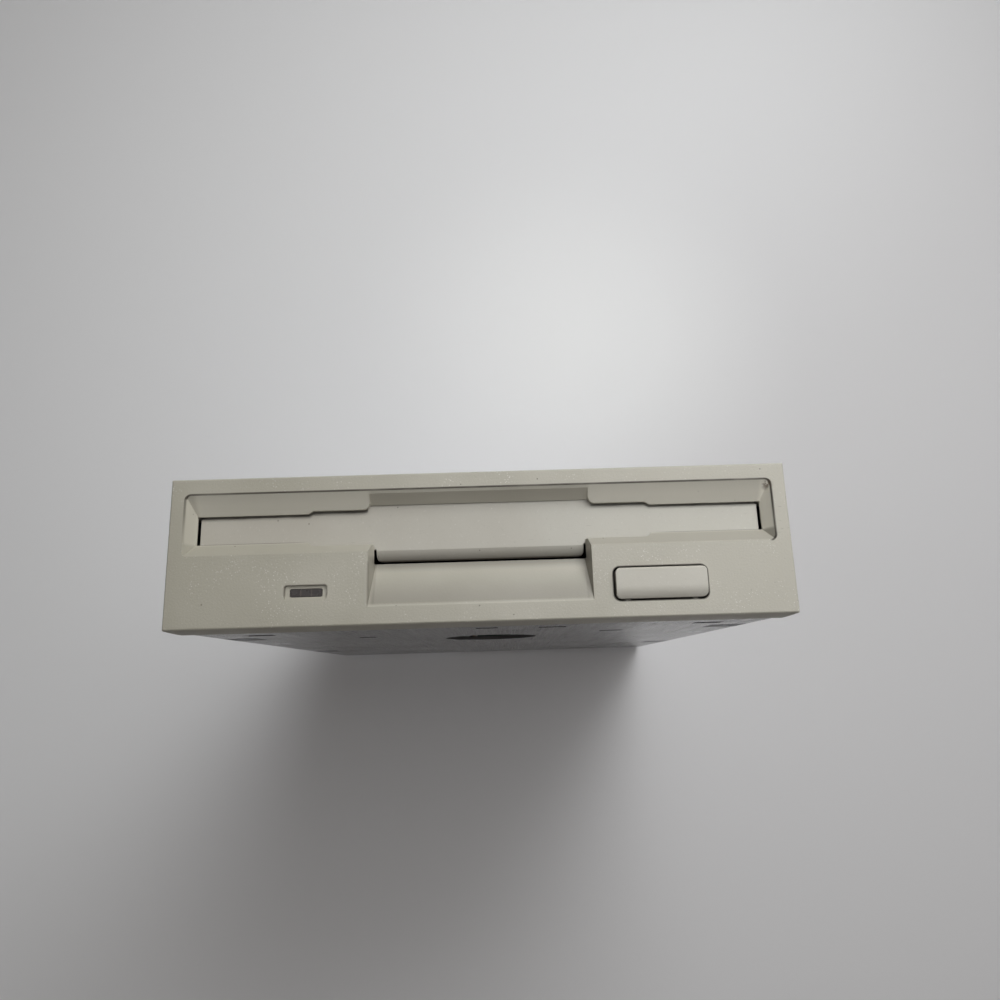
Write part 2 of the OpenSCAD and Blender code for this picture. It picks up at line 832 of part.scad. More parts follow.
// The ramp a finger runs up to the flap's lip
module finger_ramp() {
  slope = (ramp_top - ramp_z) / ramp_d;
  lean = cheek_in / ramp_d;
  back = bezel_t + 2;
  intersection() {
    along_x(-notch_w, notch_w)
      polygon([
        [-1, ramp_z - slope],
        [ramp_d, ramp_top],
        [ramp_d, ramp_top + past],
        [back, ramp_top + past],
        [back, slot_z],
        [-1, slot_z]
      ]);
    along_z(0, drive_h)
      polygon([
        [-notch_hw - lean, -1],
        [notch_hw + lean, -1],
        [notch_hw - lean * back, back],
        [-notch_hw + lean * back, back]
      ]);
  }
}

module bezel_blank() {
  in = draft + edge_r;
  plate = concat(
    [[-half_w, bezel_d]],
    arc([-half_w + in, edge_r], edge_r, 180, 270),
    arc([half_w - in, edge_r], edge_r, 270, 360),
    [[half_w, bezel_d]]
  );
  side = concat(
    [[bezel_d, 0], [bezel_d, drive_h]],
    arc([edge_r, drive_h - in], edge_r, 90, 180),
    arc([edge_r, in], edge_r, 180, 270)
  );
  intersection() {
    along_z(0, drive_h)
      polygon(plate);
    along_x(-half_w, half_w)
      polygon(side);
    front_bar(0, drive_h / 2, drive_w, drive_h, corner_r, 0, bezel_d);
  }
}

module bezel_hook() {
  x = [hook_x - hook_w / 2, hook_x + hook_w / 2];
  block(x, [bezel_t - past, hook_d], [hook_z, hook_z + hook_t]);
  block(x, [hook_d - barb_l, hook_d], [bezel_lip + 0.2, hook_z + past]);
}

module bezel_ear() {
  difference() {
    block([ear_x, ear_x + ear_t], [bezel_t - past, bezel_t + ear_d],
      [flap_axis_z - ear_half, flap_axis_z + ear_half]);
    pin_along_x(ear_x - 1, ear_x + ear_t + 1, flap_axis_y, flap_axis_z, flap_pin_r + pin_gap);
  }
}

module bezel() {
  hole_w = button_w + 2 * button_gap;
  hole_h = button_h + 2 * button_gap;
  rib_w = 0.8;
  rib_at = button_w * 0.37;
  color("#b5b2a6") {
    difference() {
      union() {
        difference() {
          bezel_blank();
          mid_block(half_w - skirt_t, [bezel_t, bezel_d + 1], [skirt_t, drive_h - skirt_t]);
        }
        along_x(-notch_hw - ramp_wall, notch_hw + ramp_wall)
          polygon([[bezel_t - past, ramp_z], [ramp_d + ramp_wall, ramp_top - ramp_wall],
            [ramp_d + ramp_wall, ramp_top], [bezel_t - past, ramp_top]]);
        front_bar(button_x, button_z, hole_w + 2 * collar_t, hole_h + 2 * collar_t,
          button_r + collar_t, bezel_t - past, bezel_t + collar_d);
        front_bar(-lamp_x, lamp_z, lamp_w + 2.4, lamp_h + 2.4, 0.6, bezel_t - past, bezel_t + 1);
      }
      along_y(-1, bezel_t + 1)
        slot_outline();
      surround();
      ceiling_notch();
      finger_ramp();
      front_bar(button_x, button_z, hole_w, hole_h, button_r + button_gap, -1, bezel_d + collar_d);
      front_bar(-lamp_x, lamp_z, lamp_w + 2 * lamp_gap, lamp_h + 2 * lamp_gap, 0.3, -1, bezel_d);
      front_bar(-lamp_x, lamp_z, lamp_w + 2 * lamp_margin, lamp_h + 2 * lamp_margin * 0.7, 0.4,
        -1, lamp_frame_d);
    }
    for (sx = [-1, 1])
      block([button_x + sx * rib_at - rib_w / 2, button_x + sx * rib_at + rib_w / 2],
        [edge_r, bezel_t], [button_z - hole_h / 2 - 0.2, button_z - button_h / 2 - 0.1]);
    both_sides()
      bezel_hook();
    both_sides()
      bezel_ear();
  }
}

// The rebate along the flap's upper edge
module flap_rebate() {
  side = step_w / 2;
  low = slot_high - flap_top_gap;
  top = slot_high + 0.9;
  polygon([
    [notch_hw + wing_r / 2, low + step_up],
    [side, low + step_up],
    [side + step_run, low],
    [slot_hw, low],
    [slot_hw, top],
    [notch_hw + wing_r / 2, top]
  ]);
}

module flap() {
  cut = [-spring_cut_x - spring_cut_w, -spring_cut_x];
  roll = [flap_y + lip_r * cos(lip_start), lip_z + lip_r * sin(lip_turn)];
  crease = roll[1] - lip_r * sin(lip_start);
  lip_corner = 0.8;
  color("#bdbaae") {
    difference() {
      union() {
        mid_block(flap_hw, [flap_y, flap_y + flap_t], [flap_foot, flap_axis_z]);
        pin_along_x(-flap_hw, flap_hw, flap_axis_y, flap_axis_z, flap_t / 2);
        intersection() {
          union() {
            mid_block(lip_hw, [flap_y, flap_y + flap_t], [crease, flap_foot + 1]);
            along_x(-lip_hw, lip_hw)
              polygon(concat(arc(roll, lip_r, 180 + lip_start, 180 + lip_turn),
                arc(roll, lip_r - flap_t, 180 + lip_turn, 180 + lip_start)));
          }
          front_bar(0, lip_z + lip_r, 2 * lip_hw, 2 * lip_r, lip_corner, 0, roll[0]);
        }
      }
      block(cut, [flap_y - 1, flap_y + flap_t + 1], [slot_high + 0.3, flap_axis_z + 2]);
      both_sides()
        along_y(flap_y - 1, flap_y + rebate_d)
          flap_rebate();
    }
    pin_along_x(-flap_hw - ear_t, cut[0], flap_axis_y, flap_axis_z, flap_pin_r);
    pin_along_x(cut[0] - 1, cut[1] + 1, flap_axis_y, flap_axis_z, spring_core_r);
    pin_along_x(flap_hw - 1, flap_hw + ear_t, flap_axis_y, flap_axis_z, flap_pin_r);
  }
}

module flap_spring() {
  wire_r = 0.14;
  mean_r = spring_core_r + wire_r + 0.08;
  pitch = 0.8;
  turns = 4.5;
  echo(str("flap spring, least gap ", coil_gap(mean_r, wire_r, pitch, turns)));
  color("#8f9296")
    translate([-spring_cut_x - spring_cut_w + 0.3, flap_axis_y, flap_axis_z])
      rotate([0, 90, 0])
        wire_coil(mean_r, wire_r, pitch, turns);
}

module eject_button() {
  low = button_z - button_h / 2;
  high = button_z + button_h / 2;
  mid = button_z - button_h * 0.1;
  fall_r = ((mid - low) * (mid - low) + button_fall * button_fall) / (2 * button_fall);
  sweep = asin((mid - low) / fall_r);
  slot_x = tongue_w / 2 + 0.1;
  color("#b9b6ab")
    difference() {
      intersection() {
        front_bar(button_x, button_z, button_w, button_h, button_r, -button_proud - 1, button_l);
        along_x(button_x - button_w, button_x + button_w)
          polygon(concat(
            [[button_l, low], [button_l, high], [0.25 - button_proud, high],
              [-button_proud, high - 0.25]],
            arc([fall_r - button_proud, mid], fall_r, 180, 180 + sweep)
          ));
      }
      block([button_x - slot_x, button_x + slot_x], [button_arm_y - tongue_in - 0.1, button_l + 1],
        [tongue_z - 0.05, tongue_z + slide_t + 0.05]);
    }
}

module slide_plate() {
  arm_end = button_arm_y + button_arm_l;
  flange_d = 5;
  bay_hw = 20;
  bay_y = 58;
  window_hw = 16;
  window_y = [slide_y + 8, bay_y - 8];
  hub_x0 = lever_x - lever_hub_r - 2;
  hub_y0 = lever_y - lever_hub_r - 1.5;
  color("#a9acb0") {
    difference() {
      mid_block(slide_out, [slide_y, slide_end], [slide_z, slide_top]);
      mid_block(bay_hw, [bay_y, slide_end + 1], [slide_z - 1, slide_top + 1]);
      mid_block(window_hw, window_y, [slide_z - 1, slide_top + 1]);
      block([hub_x0, slide_x - 0.6], [hub_y0, lever_y + lever_hub_r + slide_travel + 1.5],
        [slide_z - 1, slide_top + 1]);
    }
    both_sides()
      difference() {
        block([slide_x, slide_out], [slide_y, slide_end], [slide_foot, slide_top]);
        for (y = [pin_y1, pin_y2])
          cam_slot(slide_x - 1, slide_out + 1, y, slot_z, pin_r + pin_gap);
      }
    both_sides()
      block([spring_x - 0.6, spring_x + 0.6], [hook_tab_y, hook_tab_y + slide_t],
        [slide_top, roof_z - 0.5]);
    block([slide_x, slide_out], [button_arm_y, arm_end], [tongue_z, slide_top - 3]);
    block([button_x - tongue_w / 2, slide_out], [button_arm_y, button_arm_y + flange_d],
      [tongue_z, tongue_z + slide_t]);
    block([button_x - tongue_w / 2, button_x + tongue_w / 2],
      [button_arm_y - tongue_in, button_arm_y + flange_d], [tongue_z, tongue_z + slide_t]);
  }
}

module slide_springs() {
  mean_r = 0.7;
  wire_r = 0.17;
  turns = 20;
  span = hook_tab_y - anchor_y - anchor_l;
  pitch = (span - 2 * wire_r) / turns;
  echo(str("slide springs, least gap ", coil_gap(mean_r, wire_r, pitch, turns)));
  color("#8f9296")
    for (x = [-spring_x, spring_x])
      translate([x, anchor_y + anchor_l + wire_r, spring_z])
        rotate([-90, 0, 0])
          wire_coil(mean_r, wire_r, pitch, turns);
}

module disk_holder() {
  inside = holder_hw - holder_t;
  stop_t = 0.8;
  window_hw = holder_hw - 22.2;
  window_y = [holder_y + 10, arm_gap_y - 12];
  color("#9fa3a8") {
    difference() {
      mid_block(holder_hw, [holder_y, holder_end], [holder_low - holder_t, holder_top]);
      mid_block(inside, [holder_y - 1, holder_end + 1], [holder_low, holder_high]);
      mid_block(rail_x, [holder_y - 1, holder_end + 1], [holder_low - holder_t - 1, holder_low + 1]);
      mid_block(arm_gap_w / 2, [arm_gap_y, holder_end + 1], [holder_high - 1, holder_top + 1]);
      mid_block(window_hw, window_y, [holder_high - 1, holder_top + 1]);
      lever_path();
    }
    for (x = [[-inside, -inside + 9], [inside - 4, inside]])
      block(x, [holder_end - stop_t, holder_end], [holder_low - holder_t, holder_high + 0.1]);
  }
}

// The curved opening that the lever's finger runs along
module lever_path() {
  wide = finger_r + run_gap;
  low_angle = lever_angle - lever_swing - 5;
  high_angle = lever_angle + 5;
  reach = lever_l + 20;
  edge = [for (i = [0:4]) low_angle + (high_angle - low_angle) * i / 4];
  translate([lever_x, lever_y, 0])
    intersection() {
      difference() {
        cylinder(r = lever_l + wide, h = drive_h);
        translate([0, 0, -1])
          cylinder(r = lever_l - wide, h = drive_h + 2);
      }
      along_z(holder_high - 1, holder_top + 1)
        polygon(concat([[0, 0]], [for (a = edge) reach * [cos(a), sin(a)]]));
    }
}

module holder_pins() {
  color("#c2c5c8")
    both_sides()
      for (y = [pin_y1, pin_y2])
        pin_along_x(holder_hw, pin_tip, y, slot_z, pin_r);
}

module shutter_lever() {
  color("#d8d6cf")
    translate([lever_x, lever_y, 0])
      rotate([0, 0, lever_angle])
        difference() {
          union() {
            pin_along_z(lever_z, lever_top, 0, 0, lever_hub_r);
            block([0, lever_l], [-lever_w / 2, lever_w / 2], [lever_z, lever_top]);
            pin_along_z(lever_z, lever_top, lever_l, 0, lever_w / 2);
            pin_along_z(holder_low + 0.8, lever_top, lever_l, 0, finger_r);
          }
          pin_along_z(lever_z - 1, lever_top + 1, 0, 0, rivet_r + pin_gap);
        }
}

module lever_rivet() {
  head = 0.5;
  color("#c2c5c8")
    translate([lever_x, lever_y, 0]) {
      pin_along_z(holder_top, lever_top + 0.1, 0, 0, rivet_r);
      pin_along_z(lever_top + 0.1, lever_top + 0.1 + head, 0, 0, rivet_r + 0.9);
    }
}

module lever_spring() {
  mean_r = 3.1;
  wire_r = 0.18;
  pitch = 0.85;
  turns = 2.5;
  echo(str("lever spring, least gap ", coil_gap(mean_r, wire_r, pitch, turns)));
  color("#8f9296")
    translate([lever_x, lever_y, lever_top + wire_r + 0.05])
      wire_coil(mean_r, wire_r, pitch, turns);
}

module frame_wall() {
  along_y(bezel_d, frame_tail)
    polygon([
      [inner_hw, base_top],
      [frame_hw, base_top],
      [frame_hw, ledge_z],
      [upper_hw, ledge_z],
      [upper_hw, roof_z - cover_bend + 0.4],
      [upper_hw - 0.7, roof_z],
      [inner_hw, roof_z]
    ]);
}

// A pad inside a side wall that takes the mounting holes
module mount_pad(y, low) {
  block([frame_hw - pad_w, frame_hw], [y - pad_l / 2, y + pad_l / 2], [low, ledge_z]);
}

module deck_openings() {
  slot_left = carriage_left + 2.2;
  slot_right = carriage_right + run_gap;
  cut_z = [deck_z - 1, deck_top + 1];
  pin_along_z(cut_z[0], cut_z[1], 0, spindle_y, motor_hole_r);
  block([-slot_left, slot_right], [spindle_y, carriage_y1 + 1.4], cut_z);
  block([-3, slot_right], [carriage_y1, flex_end], cut_z);
  block([slot_right - 1, rod_x + bush_r + run_gap],
    [rod_front + rod_post_l, bush_y2 + bush_l + run_gap], cut_z);
  block([-screw_x - can_r - 0.6, -screw_x + can_r + 0.6], [can_y - 0.1, deck_end + 1], cut_z);
  block([density_x - switch_w / 2 - 0.4, density_x + switch_w / 2 + 0.4],
    [density_y - 2.6, density_y + 2.6], cut_z);
}

module rod_post(y) {
  difference() {
    union() {
      block([rod_x - 2.4, rod_x + 2.4], [y, y + rod_post_l], [deck_top - 0.2, rod_z]);
      block([rod_x + 2.3, rod_x + 6], [y, y + rod_post_l], [deck_top - 0.2, rod_z + rod_r]);
    }
    pin_along_y(y - 1, y + rod_post_l + 1, rod_x, rod_z, rod_r + 0.01);
  }
}

module frame() {
  rear_low = main_low - 0.6;
  color("#8d9094")
    difference() {
      union() {
        both_sides()
          frame_wall();
        mid_block(inner_hw + 0.2, [deck_y, deck_end], [deck_z, deck_top]);
        mid_block(inner_hw + 0.2, [frame_tail - wall_t, frame_tail], [base_top, roof_z]);
        both_sides() {
          mount_pad(hole_y, bezel_lip);
          mount_pad(hole_y + hole_pitch_1, bezel_lip);
          mount_pad(hole_y + hole_pitch_2, base_top);
          for (y = [base_screw_y1, base_screw_y2])
            block([frame_hw - pad_w, inner_hw + 0.2], [y - 2.6, y + 2.6], [base_top, deck_z + 0.2]);
          for (y = [post_y1, post_y2])
            pin_along_z(deck_top - 0.2, post_z, post_x, y, post_r);
          pin_along_z(post_z - 0.2, post_z + locate_h, post_x, post_y1, post_r - 0.4);
          block([spring_x - 1, inner_hw + 0.2], [anchor_y, anchor_y + anchor_l],
            [slide_top + 0.2, roof_z - 0.4]);
          for (y = [main_board_y + 4, deck_end - 3])
            pin_along_z(main_top, deck_z + 0.2, board_hw - 4, y, 2.4);
        }
        rod_post(rod_front);
        rod_post(rod_rear);
      }
      deck_openings();
      block([header_x - header_l / 2 - seam, header_x + header_l / 2 + seam],
        [frame_tail - wall_t - 1, frame_tail + 1], [rear_low, main_top + header_h + seam]);
      block([-power_x - power_w / 2 - seam, -power_x + power_w / 2 + seam],
        [frame_tail - wall_t - 1, frame_tail + 1], [rear_low, main_top + power_h + seam]);
      both_sides() {
        for (y = [pin_y1, pin_y2])
          block([inner_hw - 1, frame_hw + 1], [y - pin_r - pin_gap, y + pin_r + pin_gap],
            [slot_z - holder_drop - pin_r - run_gap, roof_z + 1]);
        for (y = [0, hole_pitch_1, hole_pitch_2])
          pin_along_x(frame_hw - side_hole_d, frame_hw + 1, hole_y + y, bezel_lip + hole_z, hole_r);
        for (y = [0, hole_pitch_1])
          pin_along_z(bezel_lip - 1, bezel_lip + base_hole_d, hole_x, hole_y + y, hole_r);
        for (y = [base_screw_y1, base_screw_y2])
          pin_along_z(base_top - 1, base_top + 3.4, frame_hw - pad_w + 2.3, y, base_screw_r + 0.02);
        pin_along_y(frame_tail - wall_t - 1, frame_tail + 1, cover_screw_x, cover_screw_z, small_r + 0.02);
        for (y = [main_board_y + 4, deck_end - 3])
          pin_along_z(main_top - 1, deck_z + 0.8, board_hw - 4, y, small_r + 0.02);
      }
      for (p = motor_screw_at())
        pin_along_z(deck_z - 1, deck_z + 1.1, p[0], p[1], small_r + 0.02);
      for (p = stepper_screw_at())
        pin_along_z(deck_z + 0.3, deck_top + 1, p[0], p[1], small_r + 0.02);
    }
}

function motor_screw_at() =
  let (side = board_hw - 11.4)
    [[-side, spindle_y - 22], [side, spindle_y - 22], [6 - side, spindle_y + 24]];

function stepper_screw_at() = [[-screw_x - 4.8, bracket_y0 + 5], [-screw_x - 4.8, bracket_y1 - 5]];

module base_notch(y) {
  reach = pad_l / 2 + 0.2;
  block([frame_hw - pad_w - 0.2, half_w + 1], [y - reach, y + reach], [-1, base_top + 1]);
}

module base_slot(x, y, w, l) {
  block([x - w / 2, x + w / 2], [y - l / 2, y + l / 2], [-1, base_top + 1]);
}

module bottom_plate() {
  side_slot_x = 25.5;
  side_slot_y = 36;
  left_slot_x = 24.2;
  opening_x = 0.8;
  slot_l = 2.2;
  mid_slot_x = 0.5;
  right_slot_x = 12.5;
  front_slot_y = 17.5;
  color("#9b9da1")
    difference() {
      mid_block(frame_hw, [bezel_d + seam, frame_tail], [bezel_lip, base_top]);
      pin_along_z(-1, base_top + 1, opening_x, spindle_y, base_opening_r);
      both_sides() {
        base_notch(hole_y);
        base_notch(hole_y + hole_pitch_1);
        block([hook_x - hook_w / 2 - seam, hook_x + hook_w / 2 + seam],
          [hook_slot_y, hook_d + seam], [-1, base_top + 1]);
        for (y = [base_screw_y1, base_screw_y2])
          translate([frame_hw - pad_w + 2.3, y, bezel_lip])
            cylinder(r1 = base_head_r + 0.02, r2 = base_screw_r + 0.02, h = base_t);
      }
      base_slot(side_slot_x, side_slot_y, 4.6, slot_l);
      base_slot(-left_slot_x, side_slot_y, 3.4, slot_l);
      base_slot(mid_slot_x, front_slot_y, 4, slot_l);
      base_slot(right_slot_x, front_slot_y + 2.1, 5, slot_l);
    }
}

module base_screws() {
  color("#c2c5c8")
    both_sides()
      for (y = [base_screw_y1, base_screw_y2])
        translate([frame_hw - pad_w + 2.3, y, bezel_lip])
          difference() {
            union() {
              cylinder(r1 = base_head_r, r2 = base_screw_r, h = base_t);
              cylinder(r = base_screw_r, h = base_t + 3);
            }
            cross_cut(base_head_r * 0.6, -1, 0.4);
          }
}

module cover_outline() {
  inner_r = cover_bend - cover_t;
  right = concat(
    [[frame_hw, ledge_z + seam]],
    arc([frame_hw - cover_bend, cover_top - cover_bend], cover_bend, 0, 90)
  );
  under = concat(
    [[frame_hw - cover_t, ledge_z + seam]],
    arc([frame_hw - cover_bend, cover_top - cover_bend], inner_r, 0, 90)
  );
  polygon(concat(
    right,
    [for (i = [len(right) - 1:-1:0]) [-right[i][0], right[i][1]]],
    [for (p = under) [-p[0], p[1]]],
    [for (i = [len(under) - 1:-1:0]) under[i]]
  ));
}

// A shallow panel pressed into the top cover
module pressed_panel(x, y, w, l, r) {
  translate([x, y, 0])
    along_z(cover_top - press_d, cover_top + 1)
      rounded(w, l, r);
}

module top_cover() {
  tail = frame_tail + cover_t;
  flange_hw = cover_screw_x + 5;
  panel_x = half_w - 24.8;
  panel_y = 66;
  rear_panel_y = 122;
  color("#b3b5b8")
    difference() {
      union() {
        along_y(bezel_d + seam, tail)
          cover_outline();
        mid_block(flange_hw, [frame_tail, tail], [cover_top - flange_h, cover_top - 0.2]);
      }
      for (x = [-panel_x, panel_x])
        pressed_panel(x, panel_y, 26, 88, 5);
      pressed_panel(0, rear_panel_y, 60, 10, 4);
      both_sides() {
        pin_along_y(frame_tail - 1, tail + 1, cover_screw_x, cover_screw_z, small_r + 0.1);
        for (y = [hole_y, hole_y + hole_pitch_1])
          block([upper_hw, half_w + 1], [y - 3, y + 3], [ledge_z, ledge_z + 1.6]);
      }
    }
}

module cover_screws() {
  tail = frame_tail + cover_t;
  color("#c2c5c8")
    both_sides()
      difference() {
        union() {
          pin_along_y(tail - cover_t - 3, tail, cover_screw_x, cover_screw_z, small_r);
          pin_along_y(tail, tail + head_h, cover_screw_x, cover_screw_z, small_head_r);
        }
        translate([cover_screw_x, tail, cover_screw_z])
          rotate([-90, 0, 0])
            cross_cut(small_head_r * 0.6, head_h / 2, head_h + 1);
      }
}

module motor_board() {
  back = spindle_y + 32;
  wing_x = -20;
  waist = board_hw - 7.4;
  tail_hw = waist - 12;
  color("#2f5a3c")
    difference() {
      along_z(motor_low, motor_top)
        polygon([
          [-board_hw, wing_y],
          [wing_x, wing_y],
          [wing_x, deck_y],
          [board_hw, deck_y],
          [board_hw, spindle_y - 8],
          [waist, spindle_y],
          [waist, back - 12],
          [tail_hw, back],
          [-tail_hw, back],
          [-waist, back - 12],
          [-waist, spindle_y],
          [-board_hw, spindle_y - 8]
        ]);
      pin_along_z(motor_low - 1, motor_top + 1, 0, spindle_y, bearing_r + 0.02);
      for (p = motor_screw_at())
        pin_along_z(motor_low - 1, motor_top + 1, p[0], p[1], small_r + 0.1);
    }
}

// A pan head screw driven upwards, with its head under height z
module screw_up(x, y, z, shank) {
  difference() {
    union() {
      pin_along_z(z - small_head_h, z, x, y, small_head_r);
      pin_along_z(z - past, z + shank, x, y, small_r);
    }
    translate([x, y, 0])
      cross_cut(small_head_r * 0.6, z - 2 * small_head_h, z - small_head_h / 2);
  }
}

module motor_screws() {
  color("#c2c5c8")
    for (p = motor_screw_at())
      screw_up(p[0], p[1], motor_low, motor_board_t + 1);
}

// Directions of the stator's teeth, all but those where the heads run
function tooth_angles() =
  [for (i = [0:coil_places - 1])
    let (a = 90 + stator_gap / 2 + i * 360 / coil_places)
    if (a <= 450 - stator_gap / 2 + 0.01) a];

module stator_core() {
  reach = stator_r + 8;
  wedge = [for (i = [0:4]) 90 - stator_gap / 2 + 4 + i * (stator_gap - 8) / 4];
  color("#6d7074")
    translate([0, spindle_y, core_z])
      difference() {
        union() {
          difference() {
            cylinder(r = stator_r, h = core_t);
            translate([0, 0, -1])
              cylinder(r = stator_r - stator_ring, h = core_t + 2);
            along_z(-1, core_t + 1)
              polygon(concat([[0, 0]], [for (a = wedge) reach * [cos(a), sin(a)]]));
          }
          for (a = tooth_angles())
            rotate([0, 0, a])
              block([tooth_in, stator_r - stator_ring / 2], [-tooth_w / 2, tooth_w / 2], [0, core_t]);
        }
        translate([0, 0, -1])
          cylinder(r = tooth_in, h = core_t + 2);
      }
}

module stator_coils() {
  color("#b4672f")
    translate([0, spindle_y, 0])
      for (a = tooth_angles())
        rotate([0, 0, a])
          difference() {
            block([coil_in, coil_in + coil_l], [-coil_w / 2, coil_w / 2],
              [motor_top, motor_top + coil_h]);
            block([coil_in - 1, coil_in + coil_l + 1], [-tooth_w / 2, tooth_w / 2],
              [core_z, core_z + core_t]);
          }
}

module spindle_bearing() {
  color("#a98a4e")
    translate([0, spindle_y, 0])
      difference() {
        union() {
          pin_along_z(bearing_low, yoke_z - 0.4, 0, 0, bearing_r);
          pin_along_z(motor_top, motor_top + 1, 0, 0, bearing_flange_r);
          pin_along_z(bearing_low - 0.7, bearing_low, 0, 0, bearing_r - 0.6);
        }
        pin_along_z(bearing_low, yoke_z + 1, 0, 0, shaft_r + pin_gap);
      }
}

module spindle_shaft() {
  color("#c9ccd0")
    pin_along_z(bearing_low + 0.05, hub_z + shaft_up, 0, spindle_y, shaft_r);
}

module spindle_hub() {
  color("#9fa3a8")
    translate([0, spindle_y, 0])
      difference() {
        union() {
          pin_along_z(yoke_z, yoke_z + yoke_t + past, 0, 0, rotor_r);
          pin_along_z(yoke_z, hub_z, 0, 0, hub_r);
        }
        difference() {
          pin_along_z(hub_z - chuck_t - 0.1, hub_z + 1, 0, 0, chuck_out + 0.02);
          pin_along_z(hub_z - chuck_t - 1, hub_z + 2, 0, 0, chuck_in - 0.02);
        }
        pin_along_z(yoke_z - 1, hub_z + 1, 0, 0, shaft_r + 0.01);
        pin_along_z(yoke_z - 1, hub_z + 1, drive_pin_at, 0, drive_pin_r + pin_gap);
      }
}

module rotor_magnet() {
  color("#4a4a4d")
    translate([0, spindle_y, 0])
      difference() {
        pin_along_z(rotor_low, yoke_z, 0, 0, rotor_r);
        pin_along_z(rotor_low - 1, yoke_z + 1, 0, 0, rotor_r - rotor_w);
      }
}

module chuck_magnet() {
  color("#3d3d40")
    translate([0, spindle_y, 0])
      difference() {
        pin_along_z(hub_z - chuck_t - 0.1, hub_z - 0.1, 0, 0, chuck_out);
        pin_along_z(hub_z - chuck_t - 1, hub_z + 1, 0, 0, chuck_in);
      }
}

module drive_pin() {
  collar_low = yoke_z - 1.1;
  color("#d2d4d6")
    translate([drive_pin_at, spindle_y, 0]) {
      pin_along_z(collar_low, hub_z + drive_pin_up, 0, 0, drive_pin_r);
      pin_along_z(collar_low, yoke_z - 0.1, 0, 0, drive_pin_r + 0.5);
    }
}

module main_board() {
  notch = can_r + 1;
  color("#2f5a3c")
    difference() {
      mid_block(board_hw, [main_board_y, board_edge], [main_low, main_top]);
      block([-screw_x - notch, -screw_x + notch], [main_board_y - 1, can_y + can_l + 2],
        [main_low - 1, main_top + 1]);
      both_sides()
        for (y = [main_board_y + 4, deck_end - 3])
          pin_along_z(main_low - 1, main_top + 1, board_hw - 4, y, small_r + 0.1);
    }
}

module board_screws() {
  color("#c2c5c8")
    both_sides()
      for (y = [main_board_y + 4, deck_end - 3])
        screw_up(board_hw - 4, y, main_low, main_board_t + 1.6);
}

// A chip under the main board, at a share of the board's length
module chip(x, share, w, l) {
  middle = main_board_y + share * (board_edge - main_board_y);
  block([x - w / 2, x + w / 2], [middle - l / 2, middle + l / 2], [main_low - chip_h, main_low]);
}

module board_chips() {
  color("#26272a") {
    chip(27.5, 0.28, 11, 11);
    chip(8, 0.64, 12, 7);
    chip(-31.5, 0.28, 9, 7);
  }
}

module board_capacitors() {
  apart = cap_r + 0.5;
  color("#30405a")
    for (x = [-power_x - apart, -power_x + apart])
      pin_along_z(main_top, main_top + cap_h, x, (deck_end + power_y - 1) / 2, cap_r);
}

// Left edge of the first pin in a row of n pins
function first_pin(n, pitch) = -(n - 1) * pitch / 2 - pin_side / 2;

module signal_header() {
  hollow_y = header_y + 2.4;
  tail = header_y + header_d;
  color("#232427")
    translate([header_x, 0, 0])
      difference() {
        mid_block(header_l / 2, [header_y, tail], [main_top, main_top + header_h]);
        mid_block(header_l / 2 - header_wall, [hollow_y, tail + 1],
          [main_top + header_wall, main_top + header_h - header_wall]);
        mid_block(key_w / 2, [hollow_y, tail + 1],
          [main_top + header_h - 2 * header_wall, main_top + header_h + 1]);
      }
}

module signal_pins() {
  mid = main_top + header_h / 2;
  color("#c7a34b")
    for (i = [0:header_pins - 1])
      for (row = [0, 1]) {
        x = header_x + first_pin(header_pins, header_pitch) + i * header_pitch;
        z = mid + (row - 0.5) * header_pitch - pin_side / 2;
        back = pins_back + (1 - row) * pin_row_step;
        block([x, x + pin_side], [back, header_y + header_d - 0.8], [z, z + pin_side]);
        block([x, x + pin_side], [back, back + pin_side], [main_top, z + pin_side]);
      }
}

module power_header() {
  hollow_y = power_y + 2.6;
  tail = power_y + power_d;
  color("#e4e2da")
    translate([-power_x, 0, 0])
      difference() {
        mid_block(power_w / 2, [power_y, tail], [main_top, main_top + power_h]);
        mid_block(power_w / 2 - 0.9, [hollow_y, tail + 1], [main_top + 1, main_top + power_h - 0.9]);
        mid_block(power_w / 2 - 3, [hollow_y + 1.4, tail + 1],
          [main_top + power_h - 2, main_top + power_h + 1]);
      }
}

module power_pins() {
  z = main_top + power_h / 2 - pin_side / 2;
  back = power_y - 1;
  color("#c9ccd0")
    for (i = [0:3]) {
      x = -power_x + first_pin(4, power_pitch) + i * power_pitch;
      block([x, x + pin_side], [back, power_y + power_d - 1.2], [z, z + pin_side]);
      block([x, x + pin_side], [back, back + pin_side], [main_top, z + pin_side]);
    }
}

// A flat cable's socket, with y at its front edge
module cable_socket(x, y, z) {
  edge = 0.4;
  block([x[0] - edge, x[1] + edge], [y, y + socket_l], [z, z + socket_h]);
}

module cable_sockets() {
  color("#e4e2da") {
    cable_socket(motor_cable_x, main_board_y + 0.4, main_top);
    cable_socket(head_cable_x, carriage_y1 - 1 - socket_l, main_top);
    cable_socket(motor_cable_x, spindle_y + 28, motor_low - socket_h);
  }
}

module motor_cable() {
  front = spindle_y + 28 + socket_l;
  back = main_board_y + 0.4;
  turn = front + 4;
  low = motor_low - 0.6;
  high = main_top + 0.5;
  color("#d9d4c4") {
    block(motor_cable_x, [front, turn], [low, low + flex_t]);
    block(motor_cable_x, [turn - flex_t, turn], [low, high + flex_t]);
    block(motor_cable_x, [turn - flex_t, back], [high, high + flex_t]);
  }
}

